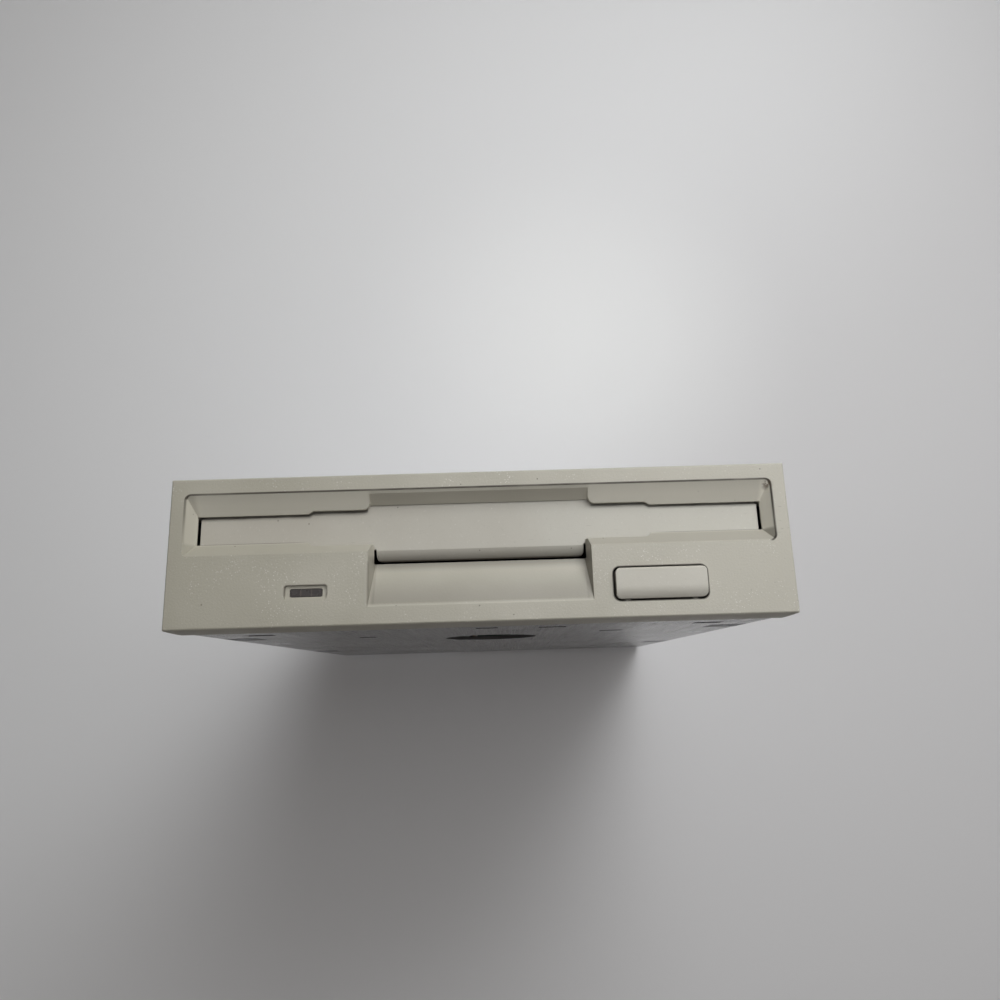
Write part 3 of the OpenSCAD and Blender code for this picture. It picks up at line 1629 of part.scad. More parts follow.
module head_cable() {
  high = carriage_z + 1.2;
  low = main_top + 0.5;
  turn = (high - low) / 2;
  bend_y = flex_end - 3;
  color("#b8863a") {
    block(head_cable_x, [carriage_y1, bend_y], [high, high + flex_t]);
    block(head_cable_x, [carriage_y1 - 1, bend_y], [low, low + flex_t]);
    along_x(head_cable_x[0], head_cable_x[1])
      polygon(concat(
        arc([bend_y, low + turn + flex_t / 2], turn + flex_t / 2, -90, 90, 10),
        arc([bend_y, low + turn + flex_t / 2], turn - flex_t / 2, 90, -90, 10)
      ));
  }
}

module activity_lamp() {
  color("#3a2c26") {
    front_bar(-lamp_x, lamp_z, lamp_w, lamp_h, 0.25, lamp_frame_d, lamp_l);
    front_bar(-lamp_x, lamp_z, lamp_w + 0.6, lamp_h + 0.4, 0.3, bezel_t + 1.6, lamp_l);
  }
}

module lamp_leads() {
  side = 0.45;
  color("#c9ccd0")
    for (x = [-lamp_x - 1.27, -lamp_x + 1.27])
      block([x - side / 2, x + side / 2], [lamp_l, lamp_l + 5], [motor_top, motor_top + side]);
}

module stepper_motor() {
  color("#a2a5a9")
    difference() {
      union() {
        pin_along_y(can_y, can_y + can_l, -screw_x, rod_z, can_r);
        pin_along_y(can_y + can_l - past, can_y + can_l + 0.6, -screw_x, rod_z, can_r - 1.6);
        pin_along_y(bracket_y1 - 0.6, can_y + past, -screw_x, rod_z, boss_r);
      }
      pin_along_y(bracket_y1 - 1, can_y + 4, -screw_x, rod_z, screw_r + pin_gap);
    }
}

module stepper_bracket() {
  left = -screw_x - 7.4;
  foot_right = -screw_x - 2.2;
  ear_top = rod_z + 2.6;
  color("#b3b5b8")
    difference() {
      union() {
        block([left, foot_right], [bracket_y0, can_y], [deck_top, deck_top + bracket_t]);
        block([left, -screw_x + 2.8], [bracket_y0, bracket_y0 + bracket_t], [deck_top, ear_top]);
        block([left, -screw_x + 5.8], [bracket_y1, can_y], [deck_top, rod_z + can_r]);
      }
      pin_along_y(bracket_y0 - 1, bracket_y0 + bracket_t + 1, -screw_x, rod_z, screw_r + pin_gap);
      pin_along_y(bracket_y1 - 1, can_y + 1, -screw_x, rod_z, boss_r + 0.01);
      for (p = stepper_screw_at())
        pin_along_z(deck_top - 1, deck_top + bracket_t + 1, p[0], p[1], small_r + 0.1);
    }
}

module stepper_screws() {
  seat = deck_top + bracket_t;
  color("#c2c5c8")
    for (p = stepper_screw_at())
      translate([p[0], p[1], 0])
        difference() {
          union() {
            pin_along_z(seat, seat + small_head_h, 0, 0, small_head_r);
            pin_along_z(seat - bracket_t - 1, seat + past, 0, 0, small_r);
          }
          cross_cut(small_head_r * 0.6, seat + small_head_h / 2, seat + 2);
        }
}

module lead_screw() {
  color("#c9ccd0")
    pin_along_y(bracket_y0 + 0.1, can_y + 3.8, -screw_x, rod_z, screw_r);
}

module guide_rod() {
  color("#d2d4d6")
    pin_along_y(rod_front, rod_rear + rod_post_l, rod_x, rod_z, rod_r);
}

module rod_clamps() {
  color("#b3b5b8")
    for (y = [rod_front, rod_rear])
      block([rod_x - 1.6, rod_x + 6], [y + 0.4, y + rod_post_l - 0.4],
        [rod_z + rod_r, rod_z + rod_r + rod_over]);
}

module head_carriage() {
  post_w = 1.8;
  post_x = carriage_left - 0.1;
  color("#3b3d40")
    difference() {
      union() {
        block([-carriage_left, carriage_right], [carriage_y0, carriage_y1], [carriage_z, carriage_top]);
        for (y = [bush_y1, bush_y2]) {
          pin_along_y(y, y + bush_l, rod_x, rod_z, bush_r);
          block([carriage_right - 1, rod_x], [y, y + bush_l], [rod_z - 1, rod_z + 1]);
        }
        block([-carriage_left - 1.5, -carriage_left + 1], [head_y + 8.5, head_y + 12.5],
          [rod_z - 0.8, rod_z + 0.8]);
        for (x = [-post_x, post_x - post_w])
          block([x, x + post_w], [pivot_y - 2, pivot_y + 2], [carriage_top - 0.2, pivot_z + 2]);
      }
      for (y = [bush_y1, bush_y2])
        pin_along_y(y - 1, y + bush_l + 1, rod_x, rod_z, rod_r + pin_gap);
      pin_along_x(-carriage_left - 1, carriage_left + 1, pivot_y, pivot_z, pivot_r + 0.01);
      block([-carriage_left + 2, carriage_right - 2], [head_y + 5, pivot_y - 4],
        [carriage_z + 1.4, carriage_top + 1]);
    }
}

module screw_follower() {
  tip = screw_x - screw_r - 0.1;
  color("#d2d4d6")
    block([-tip, -carriage_left - 1.5], [head_y + 9.5, head_y + 11.5], [rod_z - 0.5, rod_z + 0.5]);
}

module lower_head() {
  color("#55585c") {
    mid_block(head_w / 2, [head_y - head_w / 2, head_y + head_w / 2], [carriage_top, head_z]);
    mid_block(head_w / 2 + 1.4, [head_y - head_w / 2 - 1.2, head_y + head_w / 2 + 1.2],
      [carriage_top, carriage_top + 0.4]);
  }
}

// Turns a piece of the arm from its loaded place up to rest
module lifted() {
  translate([0, pivot_y, pivot_z])
    rotate([-arm_lift, 0, 0])
      translate([0, -pivot_y, -pivot_z])
        children();
}

module upper_arm() {
  front = head_y - arm_front;
  knuckle_hw = 2.2;
  knuckle_r = pivot_r + 0.8;
  color("#3b3d40")
    lifted()
      difference() {
        union() {
          mid_block(arm_w / 2, [front, pivot_y - 2], [arm_z, arm_z + arm_t]);
          mid_block(knuckle_hw, [pivot_y - 3, pivot_y], [pivot_z, arm_z + arm_t]);
          pin_along_x(-knuckle_hw, knuckle_hw, pivot_y, pivot_z, knuckle_r);
          block([-lift_reach, 2], [lift_y - lift_w / 2, lift_y + lift_w / 2], [lift_z, lift_z + 1.3]);
          block([-arm_w / 2, 2], [lift_y - lift_w / 2, lift_y + lift_w / 2], [arm_z, lift_z + 1.3]);
        }
        pin_along_x(-knuckle_hw - 1, knuckle_hw + 1, pivot_y, pivot_z, pivot_r + pin_gap);
      }
}

module upper_head() {
  color("#55585c")
    lifted()
      mid_block(head_w / 2, [head_y - head_w / 2, head_y + head_w / 2], [head_z + head_gap, arm_z]);
}

module arm_pivot() {
  color("#d2d4d6")
    pin_along_x(-carriage_left + 0.1, carriage_left - 0.1, pivot_y, pivot_z, pivot_r);
}

module arm_spring() {
  mean_r = 1.35;
  wire_r = 0.17;
  pitch = 0.8;
  turns = 2;
  echo(str("arm spring, least gap ", coil_gap(mean_r, wire_r, pitch, turns)));
  color("#8f9296")
    translate([2.55, pivot_y, pivot_z])
      rotate([0, 90, 0])
        wire_coil(mean_r, wire_r, pitch, turns);
}

module track_sensor() {
  right = rod_x + 8;
  color("#232427")
    difference() {
      block([right, right + 5], [head_y + 12, head_y + 17], [deck_top, deck_top + 5]);
      block([right - 1, right + 3.4], [head_y + 13.8, head_y + 15.2], [deck_top + 1.6, deck_top + 6]);
    }
}

// A switch body with a well for its plunger
module switch_body(x, y) {
  deep = 4;
  difference() {
    block([x - switch_w / 2, x + switch_w / 2], [y - deep / 2, y + deep / 2],
      [motor_top, motor_top + switch_h]);
    pin_along_z(motor_top + 0.5, motor_top + switch_h + 1, x, y, plunger_r + pin_gap);
  }
}

module switch_plunger(x, y) {
  top = motor_top + switch_h + plunger_up;
  pin_along_z(motor_top + 0.6 + plunger_travel, top, x, y, plunger_r);
}

module sense_switches() {
  color("#232427") {
    switch_body(-protect_x, switch_y);
    switch_body(-disk_switch_x, switch_y);
    switch_body(density_x, density_y);
  }
}

module protect_plunger() {
  color("#e4e2da")
    switch_plunger(-protect_x, switch_y);
}

module disk_plunger() {
  color("#e4e2da")
    switch_plunger(-disk_switch_x, switch_y);
}

module density_plunger() {
  color("#e4e2da")
    switch_plunger(density_x, density_y);
}

// Moves the drive so that its middle lies over the origin
module centred() {
  translate([0, face_y, 0])
    children();
}

centred() bezel();
centred() flap();
centred() flap_spring();
centred() eject_button();
centred() slide_plate();
centred() slide_springs();
centred() disk_holder();
centred() holder_pins();
centred() shutter_lever();
centred() lever_rivet();
centred() lever_spring();
centred() frame();
centred() bottom_plate();
centred() base_screws();
centred() top_cover();
centred() cover_screws();
centred() motor_board();
centred() motor_screws();
centred() stator_core();
centred() stator_coils();
centred() spindle_bearing();
centred() spindle_shaft();
centred() spindle_hub();
centred() rotor_magnet();
centred() chuck_magnet();
centred() drive_pin();
centred() main_board();
centred() board_screws();
centred() board_chips();
centred() board_capacitors();
centred() signal_header();
centred() signal_pins();
centred() power_header();
centred() power_pins();
centred() cable_sockets();
centred() motor_cable();
centred() head_cable();
centred() activity_lamp();
centred() lamp_leads();
centred() stepper_motor();
centred() stepper_bracket();
centred() stepper_screws();
centred() lead_screw();
centred() guide_rod();
centred() rod_clamps();
centred() head_carriage();
centred() screw_follower();
centred() lower_head();
centred() upper_arm();
centred() upper_head();
centred() arm_pivot();
centred() arm_spring();
centred() track_sensor();
centred() sense_switches();
centred() protect_plunger();
centred() disk_plunger();
centred() density_plunger();
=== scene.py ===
# %% [markdown]
# # A 3.5-inch floppy disk drive
# The imported model holds every solid of the drive in metres, and each solid already rides on the body that carries
# it. This script adds what a solid can't say: rounded edges, threads, windings and the finish of each material.
# It starts by loading the solids and keeping the size of their box, which sets where the table stands behind the
# drive.

import json
import math

import bmesh
import bpy
import numpy as np
from mathutils import Matrix, Vector

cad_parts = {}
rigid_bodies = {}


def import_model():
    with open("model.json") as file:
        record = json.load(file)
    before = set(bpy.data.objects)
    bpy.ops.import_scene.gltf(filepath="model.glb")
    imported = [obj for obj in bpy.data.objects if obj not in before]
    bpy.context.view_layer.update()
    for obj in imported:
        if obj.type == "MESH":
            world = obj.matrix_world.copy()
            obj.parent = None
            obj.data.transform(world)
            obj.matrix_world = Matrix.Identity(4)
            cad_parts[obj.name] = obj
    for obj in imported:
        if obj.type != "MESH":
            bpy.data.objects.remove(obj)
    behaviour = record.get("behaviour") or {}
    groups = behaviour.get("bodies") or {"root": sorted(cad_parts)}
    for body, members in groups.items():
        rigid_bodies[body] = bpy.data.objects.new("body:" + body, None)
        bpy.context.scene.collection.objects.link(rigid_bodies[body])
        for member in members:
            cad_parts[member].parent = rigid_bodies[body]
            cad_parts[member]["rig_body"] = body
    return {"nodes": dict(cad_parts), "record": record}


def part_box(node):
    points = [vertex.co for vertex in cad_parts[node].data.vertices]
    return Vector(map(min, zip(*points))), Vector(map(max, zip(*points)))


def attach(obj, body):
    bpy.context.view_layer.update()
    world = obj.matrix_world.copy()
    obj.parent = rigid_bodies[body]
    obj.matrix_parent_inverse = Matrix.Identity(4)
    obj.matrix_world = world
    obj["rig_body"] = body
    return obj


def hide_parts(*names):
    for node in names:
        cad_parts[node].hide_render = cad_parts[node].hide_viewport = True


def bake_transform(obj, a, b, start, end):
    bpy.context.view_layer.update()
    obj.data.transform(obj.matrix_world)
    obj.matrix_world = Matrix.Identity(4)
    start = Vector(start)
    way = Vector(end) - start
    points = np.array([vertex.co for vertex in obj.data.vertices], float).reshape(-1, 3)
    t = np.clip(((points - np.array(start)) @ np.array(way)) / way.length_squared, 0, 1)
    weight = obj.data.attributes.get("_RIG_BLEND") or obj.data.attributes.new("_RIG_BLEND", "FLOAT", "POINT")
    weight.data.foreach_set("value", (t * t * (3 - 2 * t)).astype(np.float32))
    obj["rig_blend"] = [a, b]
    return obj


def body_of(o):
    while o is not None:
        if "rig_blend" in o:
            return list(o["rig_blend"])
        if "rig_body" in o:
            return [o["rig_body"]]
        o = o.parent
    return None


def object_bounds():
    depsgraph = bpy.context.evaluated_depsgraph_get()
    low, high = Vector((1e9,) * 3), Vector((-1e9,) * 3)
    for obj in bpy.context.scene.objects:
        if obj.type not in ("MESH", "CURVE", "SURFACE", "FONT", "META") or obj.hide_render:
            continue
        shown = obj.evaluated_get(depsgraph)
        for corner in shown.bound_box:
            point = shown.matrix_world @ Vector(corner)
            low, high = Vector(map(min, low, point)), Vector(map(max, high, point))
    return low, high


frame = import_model()
cad_low, cad_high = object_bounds()
nodes = frame["nodes"]
slot_of = {part["node"]: part["material_slot"] for part in frame["record"]["subparts"]}
MM = 0.001
scene = bpy.context.scene
print("solids:", len(nodes), "finishes:", len(set(slot_of.values())))

# %% [markdown]
# ## Camera
# The photograph was taken from very close, a little below the middle of the bezel, so the underside runs away in
# steep perspective. A camera could be aimed at a point, but here its place and its three turns are known from the
# corners of the bezel, so they are written as a matrix: turn about the vertical, tilt up, then roll.

# %% Place the camera
CAMERA_PLACE = (3.04 * MM, -191.5 * MM, -8.0 * MM)
CAMERA_YAW, CAMERA_TILT, CAMERA_ROLL = (math.radians(a) for a in (-0.228, 13.2, 1.712))
SENSOR, LENS = 36.0, 27.04

camera = bpy.data.objects.new("photo_camera", bpy.data.cameras.new("photo_camera"))
scene.collection.objects.link(camera)
camera.data.sensor_width, camera.data.lens = SENSOR, LENS
camera.data.clip_start = 1 * MM
look_along_y = Matrix.Rotation(math.pi / 2, 4, "X")
turn = (Matrix.Rotation(CAMERA_YAW, 4, "Z") @ Matrix.Rotation(CAMERA_TILT, 4, "X")
        @ Matrix.Rotation(CAMERA_ROLL, 4, "Y"))
camera.matrix_world = Matrix.Translation(CAMERA_PLACE) @ turn @ look_along_y
scene.camera = camera
scene.view_settings.view_transform = "Standard"
print("camera at", [round(c / MM, 1) for c in CAMERA_PLACE], "mm")

# %% [markdown]
# ## Shader sums
# Most finishes here are arithmetic on a few patterns, and a node for every sum makes long code. A small class wraps
# one socket and teaches it Python's operators, so that `1 - mask` adds the Math node by itself. Any other node comes
# from one method, which sets the node up first and then fills its sockets.

# %% A socket that can do sums
class Line:
    """One output socket. Sums with it add Math nodes, and node() adds any other kind."""

    def __init__(self, tree, socket):
        self.tree, self.socket = tree, socket

    def node(self, kind, settings, sockets, out=0):
        made = self.tree.nodes.new(kind)
        for name, value in settings.items():
            setattr(made, name, value)
        for name, value in sockets.items():
            if isinstance(value, Line):
                self.tree.links.new(value.socket, made.inputs[name])
            else:
                made.inputs[name].default_value = value
        return Line(self.tree, made.outputs[out]) if made.outputs else None

    def math(self, operation, *values):
        return self.node("ShaderNodeMath", {"operation": operation}, dict(enumerate(values)))

    def __add__(self, other):
        return self.math("ADD", self, other)

    def __sub__(self, other):
        return self.math("SUBTRACT", self, other)

    def __rsub__(self, other):
        return self.math("SUBTRACT", other, self)

    def __mul__(self, other):
        return self.math("MULTIPLY", self, other)

    def __truediv__(self, other):
        return self.math("DIVIDE", self, other)

    def __abs__(self):
        return self.math("ABSOLUTE", self)

    __radd__ = __add__
    __rmul__ = __mul__


def paint(red, green, blue):
    """A colour on the usual 0 to 255 scale, as the linear values that a shader works with."""
    share = np.array([red, green, blue]) / 255
    linear = np.where(share <= 0.04045, share / 12.92, ((share + 0.055) / 1.055) ** 2.4)
    return (*linear.tolist(), 1.0)


print("a mid grey of 128 is", round(paint(128, 128, 128)[0], 3), "in linear light")

# %% [markdown]
# ## Patterns
# A finish reads where it is on the drive in millimetres, so that a grain of 0.3 means 0.3 mm on every piece. Noise
# gives clouds and grain, cells give specks, and a smooth rise turns either into a mask. A bump in millimetres then
# tilts the surface as a real relief of that height would.

# %% Helpers that every finish shares
def place_in_mm(tree):
    """Object coordinates, scaled so that one unit is a millimetre."""
    start = Line(tree, tree.nodes.new("ShaderNodeTexCoord").outputs["Object"])
    return start.node("ShaderNodeVectorMath", {"operation": "SCALE"}, {0: start, "Scale": 1 / MM})


def axes(place):
    """The x, y and z of a place, each as a value."""
    return [place.node("ShaderNodeSeparateXYZ", {}, {0: place}, out) for out in range(3)]


def rise(value, low, high):
    """0 below low, 1 above high, and a smooth rise between them."""
    limits = {"Value": value, "From Min": low, "From Max": high}
    return value.node("ShaderNodeMapRange", {"interpolation_type": "SMOOTHSTEP"}, limits)


def between(value, low, high):
    """1 between two limits, each given as the start and the end of a smooth change."""
    return rise(value, *low) * (1 - rise(value, *high))


def line_at(distance, half, fade):
    """1 on a line where a distance is 0, out to half, and nothing past fade."""
    return 1 - rise(abs(distance), half, fade)


def spot(x, z, middle, near, far):
    """1 within near of a middle, and 0 past far, on the plane of x and z."""
    across, up = x - middle[0], z - middle[1]
    return 1 - rise(x.math("SQRT", across * across + up * up), near, far)


def blend(mask, under, over):
    """The colour under where the mask is 0, and the colour over where it is 1."""
    return mask.node("ShaderNodeMix", {"data_type": "RGBA"}, {0: mask, 6: under, 7: over}, 2)


def stretched(place, x, y, z):
    """The place with each axis divided by a length, so that a pattern of size 1 is that long."""
    return place.node("ShaderNodeVectorMath", {"operation": "DIVIDE"}, {0: place, 1: (x, y, z)})


def noise(place, size, detail=2.0):
    """Cloudy values about 0.5, with blots about size millimetres across."""
    return place.node("ShaderNodeTexNoise", {}, {"Vector": place, "Scale": 1 / size, "Detail": detail})


def specks(place, apart, radius):
    """1 inside small dots, which lie about apart millimetres from each other."""
    near = place.node("ShaderNodeTexVoronoi", {}, {"Vector": place, "Scale": 1 / apart}, "Distance")
    return 1 - rise(near * apart, radius * 0.6, radius)


def dents(height):
    """The normal of a relief whose height is given in millimetres."""
    return height.node("ShaderNodeBump", {}, {"Height": height, "Strength": 1.0, "Distance": MM})


finishes = {}


def finish(slot, recipe, fixed):
    """The material of one record slot: recipe(place) gives the sockets that vary, fixed those that don't."""
    look = bpy.data.materials.new(slot + "_finish")
    look.use_nodes = True
    tree = look.node_tree
    tree.nodes.clear()
    place = place_in_mm(tree)
    shader = place.node("ShaderNodeBsdfPrincipled", {}, {**fixed, **recipe(place)})
    place.node("ShaderNodeOutputMaterial", {}, {"Surface": shader})
    finishes[slot] = look
    print("finish", slot, "nodes", len(tree.nodes))


# %% [markdown]
# ## Table and light
# The drive is lit by two soft lamps at the upper right, a weak one from below, one behind it and a pale room. The
# table that its tail stands against and the floor under it show their colour and catch the drive's shadow, and the
# table's colour also holds painted light: a paler upper corner and a painted pool of light from a lamp above the
# drive.
# They are left out of the light that bounces between pieces, their back is clear so that they can't hide the drive
# from behind, and far from the drive they go over into the room, as a studio's paper sweep does.

# %% Table and floor
STAGE_HALF = 2.0
TABLE_GAP = 0.5 * MM
# The table's paler corner and its glow are painted light.
TABLE_PALE, TABLE_LIT_CORNER, TABLE_PAINTED_GLOW = paint(228, 227, 229), paint(242, 242, 244), paint(254, 254, 255)
FLOOR_PALE = paint(212, 212, 213)
PAINTED_GLOW_MIDDLE, PAINTED_GLOW_REACH = (34, 118), 95
LIT_CORNER_START, LIT_CORNER_END, FLOOR_CLOUD = -60, 160, 60
ROOM_PALE = paint(200, 200, 202)
TABLE_FADE, FLOOR_FADE = (350, 900), (190, 560)
PALE_RAYS = "Is Camera Ray", "Is Glossy Ray", "Is Transmission Ray"


def stage_sheet(name, corners, colours, fade, mirrored):
    """A flat sheet through four corners, in metres. colours(place) gives its colour, which goes over into the pale
    room between two distances from the drive, and a mirrored sheet also shows in metal and through clear plastic."""
    mesh = bpy.data.meshes.new(name)
    mesh.from_pydata(corners, [], [(0, 1, 2, 3)])
    sheet = bpy.data.objects.new(name, mesh)
    scene.collection.objects.link(sheet)
    look = bpy.data.materials.new(name)
    look.use_nodes = True
    tree = look.node_tree
    tree.nodes.clear()
    place = place_in_mm(tree)
    rays = PALE_RAYS if mirrored else PALE_RAYS[:1]
    seen = sum(place.node("ShaderNodeLightPath", {}, {}, ray) for ray in rays)
    back = place.node("ShaderNodeNewGeometry", {}, {}, "Backfacing")
    matte = place.node("ShaderNodeBsdfDiffuse", {}, {"Color": colours(place)})
    clear = place.node("ShaderNodeBsdfTransparent", {}, {})
    glow = place.node("ShaderNodeEmission", {}, {"Color": ROOM_PALE, "Strength": 1.0})
    away = place.node("ShaderNodeVectorMath", {"operation": "LENGTH"}, {0: place}, "Value")
    front = place.node("ShaderNodeMixShader", {}, {0: rise(away, *fade), 1: matte, 2: glow})
    shader = place.node("ShaderNodeMixShader", {}, {0: seen * (1 - back), 1: clear, 2: front})
    place.node("ShaderNodeOutputMaterial", {}, {"Surface": shader})
    mesh.materials.append(look)
    print(name, "faces", tuple(round(c) for c in mesh.polygons[0].normal))


def table_colours_and_painted_light(place):
    """Painted light: paler towards one upper corner, and a painted pool of light from a lamp above the drive."""
    x, y, z = axes(place)
    # Painted light: paler towards the upper left corner.
    tone = blend(rise(z - x, LIT_CORNER_START, LIT_CORNER_END), TABLE_PALE, TABLE_LIT_CORNER)
    # Painted light: a pool of lamp light above the drive.
    return blend(spot(x, z, PAINTED_GLOW_MIDDLE, 0, PAINTED_GLOW_REACH), tone, TABLE_PAINTED_GLOW)


def floor_colours(place):
    """Faint clouds of two pale greys."""
    return blend(noise(place, FLOOR_CLOUD, 2), FLOOR_PALE, TABLE_PALE)


table_y = cad_high.y + TABLE_GAP
square = [(STAGE_HALF * a, STAGE_HALF * b) for a, b in ((-1, -1), (1, -1), (1, 1), (-1, 1))]
stage_sheet("table", [(x, table_y, z) for x, z in square], table_colours_and_painted_light, TABLE_FADE, True)
stage_sheet("floor", [(x, y, 0) for x, y in square], floor_colours, FLOOR_FADE, False)

# %% Room and lamps
ROOM_LEVEL, ROOM_TILT = 0.1, (0.06, 0.0, 0.0)
ROOM_WARMTH = 1.08, 1.0, 0.93
LAMP_TINT = 0.985, 1.0, 0.995
AT_BEZEL, AT_MIDDLE = (0, -72, 12), (0, 0, 12)

scene.world = bpy.data.worlds.new("room")
scene.world.use_nodes = True
room = scene.world.node_tree
room.nodes.clear()
way = Line(room, room.nodes.new("ShaderNodeTexCoord").outputs["Generated"])
seen = sum(way.node("ShaderNodeLightPath", {}, {}, ray) for ray in PALE_RAYS)
lean = way.node("ShaderNodeVectorMath", {"operation": "DOT_PRODUCT"}, {0: way, 1: ROOM_TILT}, "Value")
level = lean + ROOM_LEVEL
bands = {band: level * share for band, share in enumerate(ROOM_WARMTH)}
sky = level.node("ShaderNodeCombineColor", {}, bands)
glow = way.node("ShaderNodeBackground", {}, {"Color": blend(seen, sky, ROOM_PALE), "Strength": 1.0})
way.node("ShaderNodeOutputWorld", {}, {"Surface": glow})


def soft_lamp(name, place, aim, size, power):
    """A square lamp that faces a point, unseen by the camera itself. Places are in millimetres."""
    lamp = bpy.data.lights.new(name, "AREA")
    lamp.size, lamp.energy, lamp.color = size * MM, power, LAMP_TINT
    holder = bpy.data.objects.new(name, lamp)
    scene.collection.objects.link(holder)
    start, end = (np.array(p) * MM for p in (place, aim))
    facing = Vector(end - start).to_track_quat("-Z", "Y")
    holder.matrix_world = Matrix.Translation(start) @ facing.to_matrix().to_4x4()
    holder.visible_camera = False
    print(name, power, "W at", place)


soft_lamp("front_lamp", (130, -420, 160), AT_BEZEL, 300, 0.65)
soft_lamp("high_lamp", (140, -330, 300), AT_BEZEL, 250, 0.9)
soft_lamp("low_lamp", (60, -420, -80), AT_BEZEL, 300, 0.16)
soft_lamp("back_lamp", (-380, 520, 420), AT_MIDDLE, 700, 4.5)

# %% [markdown]
# ## Moulded plastics
# The bezel, flap and button are beige plastic that has aged a little unevenly, and the bezel and flap are also
# painted darker towards the left as shade. The bezel's mould was spark eroded, which leaves a fine grain, while the
# flap and button are smoother; the grain's sparkle is painted, as lighter crests, darker pits and white glints on the
# bezel's face. An image of plastic would blur this close, so the grain is computed: two sizes of noise for the
# relief, a wide cloud for the ageing and a few specks.

# %% Grain of a moulded plastic
# One dark brown serves for dirt, and also for painted shade in pits, creases, gaps and under edges.
WHITE, GRIME_AND_SHADE = (1, 1, 1, 1), paint(58, 51, 43)
AGE_CLOUD, GLOSS_CLOUD, GLOSS_SWING = 15, 9, 0.16
# The grain's crests are painted lighter as a highlight, and its pits darker as shade.
CREST, CREST_SHARE, PIT, PIT_SHARE = (0.1, 0.24), 0.2, (0.1, 0.26), 0.22
SPECK_APART, SPECK_RADIUS, SPECK_SHARE = 3.2, 0.16, 0.55


def grain_relief(place, size, height):
    """A relief of two noises, the finer one a third of the size, in millimetres."""
    return (noise(place, size, 3) * 0.65 + noise(place, size / 3, 2) * 0.35 - 0.5) * height


def moulded(pale, aged_and_shaded, grain, height, gloss, shade_span=None, sparked=None):
    """A recipe for moulded plastic of two tones, with a grain of that size and height, whose crests are painted
    lighter as a highlight and whose pits are painted darker as shade. A given span of x paints the plastic darker
    from its first x to its second as shade, over its cloudy tone, and sparked(place) gives the share of the grain at
    a place."""
    def recipe(place):
        relief = grain_relief(place, grain, height)
        if sparked:
            relief = relief * sparked(place)
        cloud = noise(place, AGE_CLOUD, 3)
        if shade_span:
            # Painted shade: darker across x over the given span.
            across = (axes(place)[0] - shade_span[0]) / (shade_span[1] - shade_span[0])
            cloud = (cloud - 0.5) * 0.5 + across * 0.5 + 0.25
        tone = blend(rise(cloud, 0.25, 0.75), pale, aged_and_shaded)
        # Painted highlight on the grain's crests.
        tone = blend(rise(relief / height, *CREST) * CREST_SHARE, tone, WHITE)
        # Painted shade in the grain's pits.
        tone = blend(rise(relief / height * -1, *PIT) * PIT_SHARE, tone, GRIME_AND_SHADE)
        tone = blend(specks(place, SPECK_APART, SPECK_RADIUS) * SPECK_SHARE, tone, GRIME_AND_SHADE)
        rough = gloss + (noise(place, GLOSS_CLOUD, 2) - 0.5) * GLOSS_SWING
        return {"Base Color": tone, "Roughness": rough, "Normal": dents(relief)}
    return recipe


# The dark brown used for dirt and for painted shade.
print("grime", [round(band, 3) for band in GRIME_AND_SHADE[:3]], "in linear light")

# %% [markdown]
# The bezel shows its years in known places: grime in the crisp rims, a dull ramp where fingers push the disk in, a
# brown spot in one corner and scuffs at the right. Painted shade lies with the grime in the rims and on the ramp, and
# alone round the button, above the lamp, in the crease under the flap's lip, on the notch's cheeks and in the recess;
# the recess's walls are painted paler as light, and glints on the face are painted. Painting them by hand would need
# an image, so each is a mask worked out from how far a place lies from a rounded box, a line or a spot on the face.

# %% Places on the bezel
FACE_Y = -72.0
RECESS_BOX = (0.0, 17.275), (48.0, 5.125), 1.0
LAMP_BOX = (-27.85, 5.85), (3.4, 1.2), 0.4
BUTTON_BOX = (28.75, 5.8), (7.57, 2.745), 1.12
NOTCH_HALF, STAIN_MIDDLE = 18.0, (47.5, 21.5)


def outside_box(x, z, middle, half, corner):
    """How far a place lies outside a box with rounded corners on the face, and less than 0 inside it."""
    over_x = abs(x - middle[0]) - (half[0] - corner)
    over_z = abs(z - middle[1]) - (half[1] - corner)
    out_x, out_z = (over.math("MAXIMUM", over, 0.0) for over in (over_x, over_z))
    within = x.math("MINIMUM", x.math("MAXIMUM", over_x, over_z), 0.0)
    return x.math("SQRT", out_x * out_x + out_z * out_z) + within - corner


def on_face(place):
    """1 on the bezel's front face, and 0 in the recess and the finger notch, where the mould was polished."""
    return line_at(axes(place)[1] - FACE_Y, 0.15, 0.5)


print("recess", [2 * half for half in RECESS_BOX[1]], "mm, button hole", [2 * half for half in BUTTON_BOX[1]], "mm")

# %% Recess and finger notch
# Painted light: the recess's walls are painted paler, most at the right end.
WALL_PAINTED_LIGHT = paint(235, 231, 219)
WALL_FOOT, WALL_END, NOTCH_SIDE = (14.0, 14.6), (46, 47), (17.5, 18.5)
WALL_SHARE, RIGHT_MORE, LEFT_LESS = 0.44, 0.38, 0.26
RAMP_FOOT, RAMP_TOP = (1.6, 2.4), (11, 12)


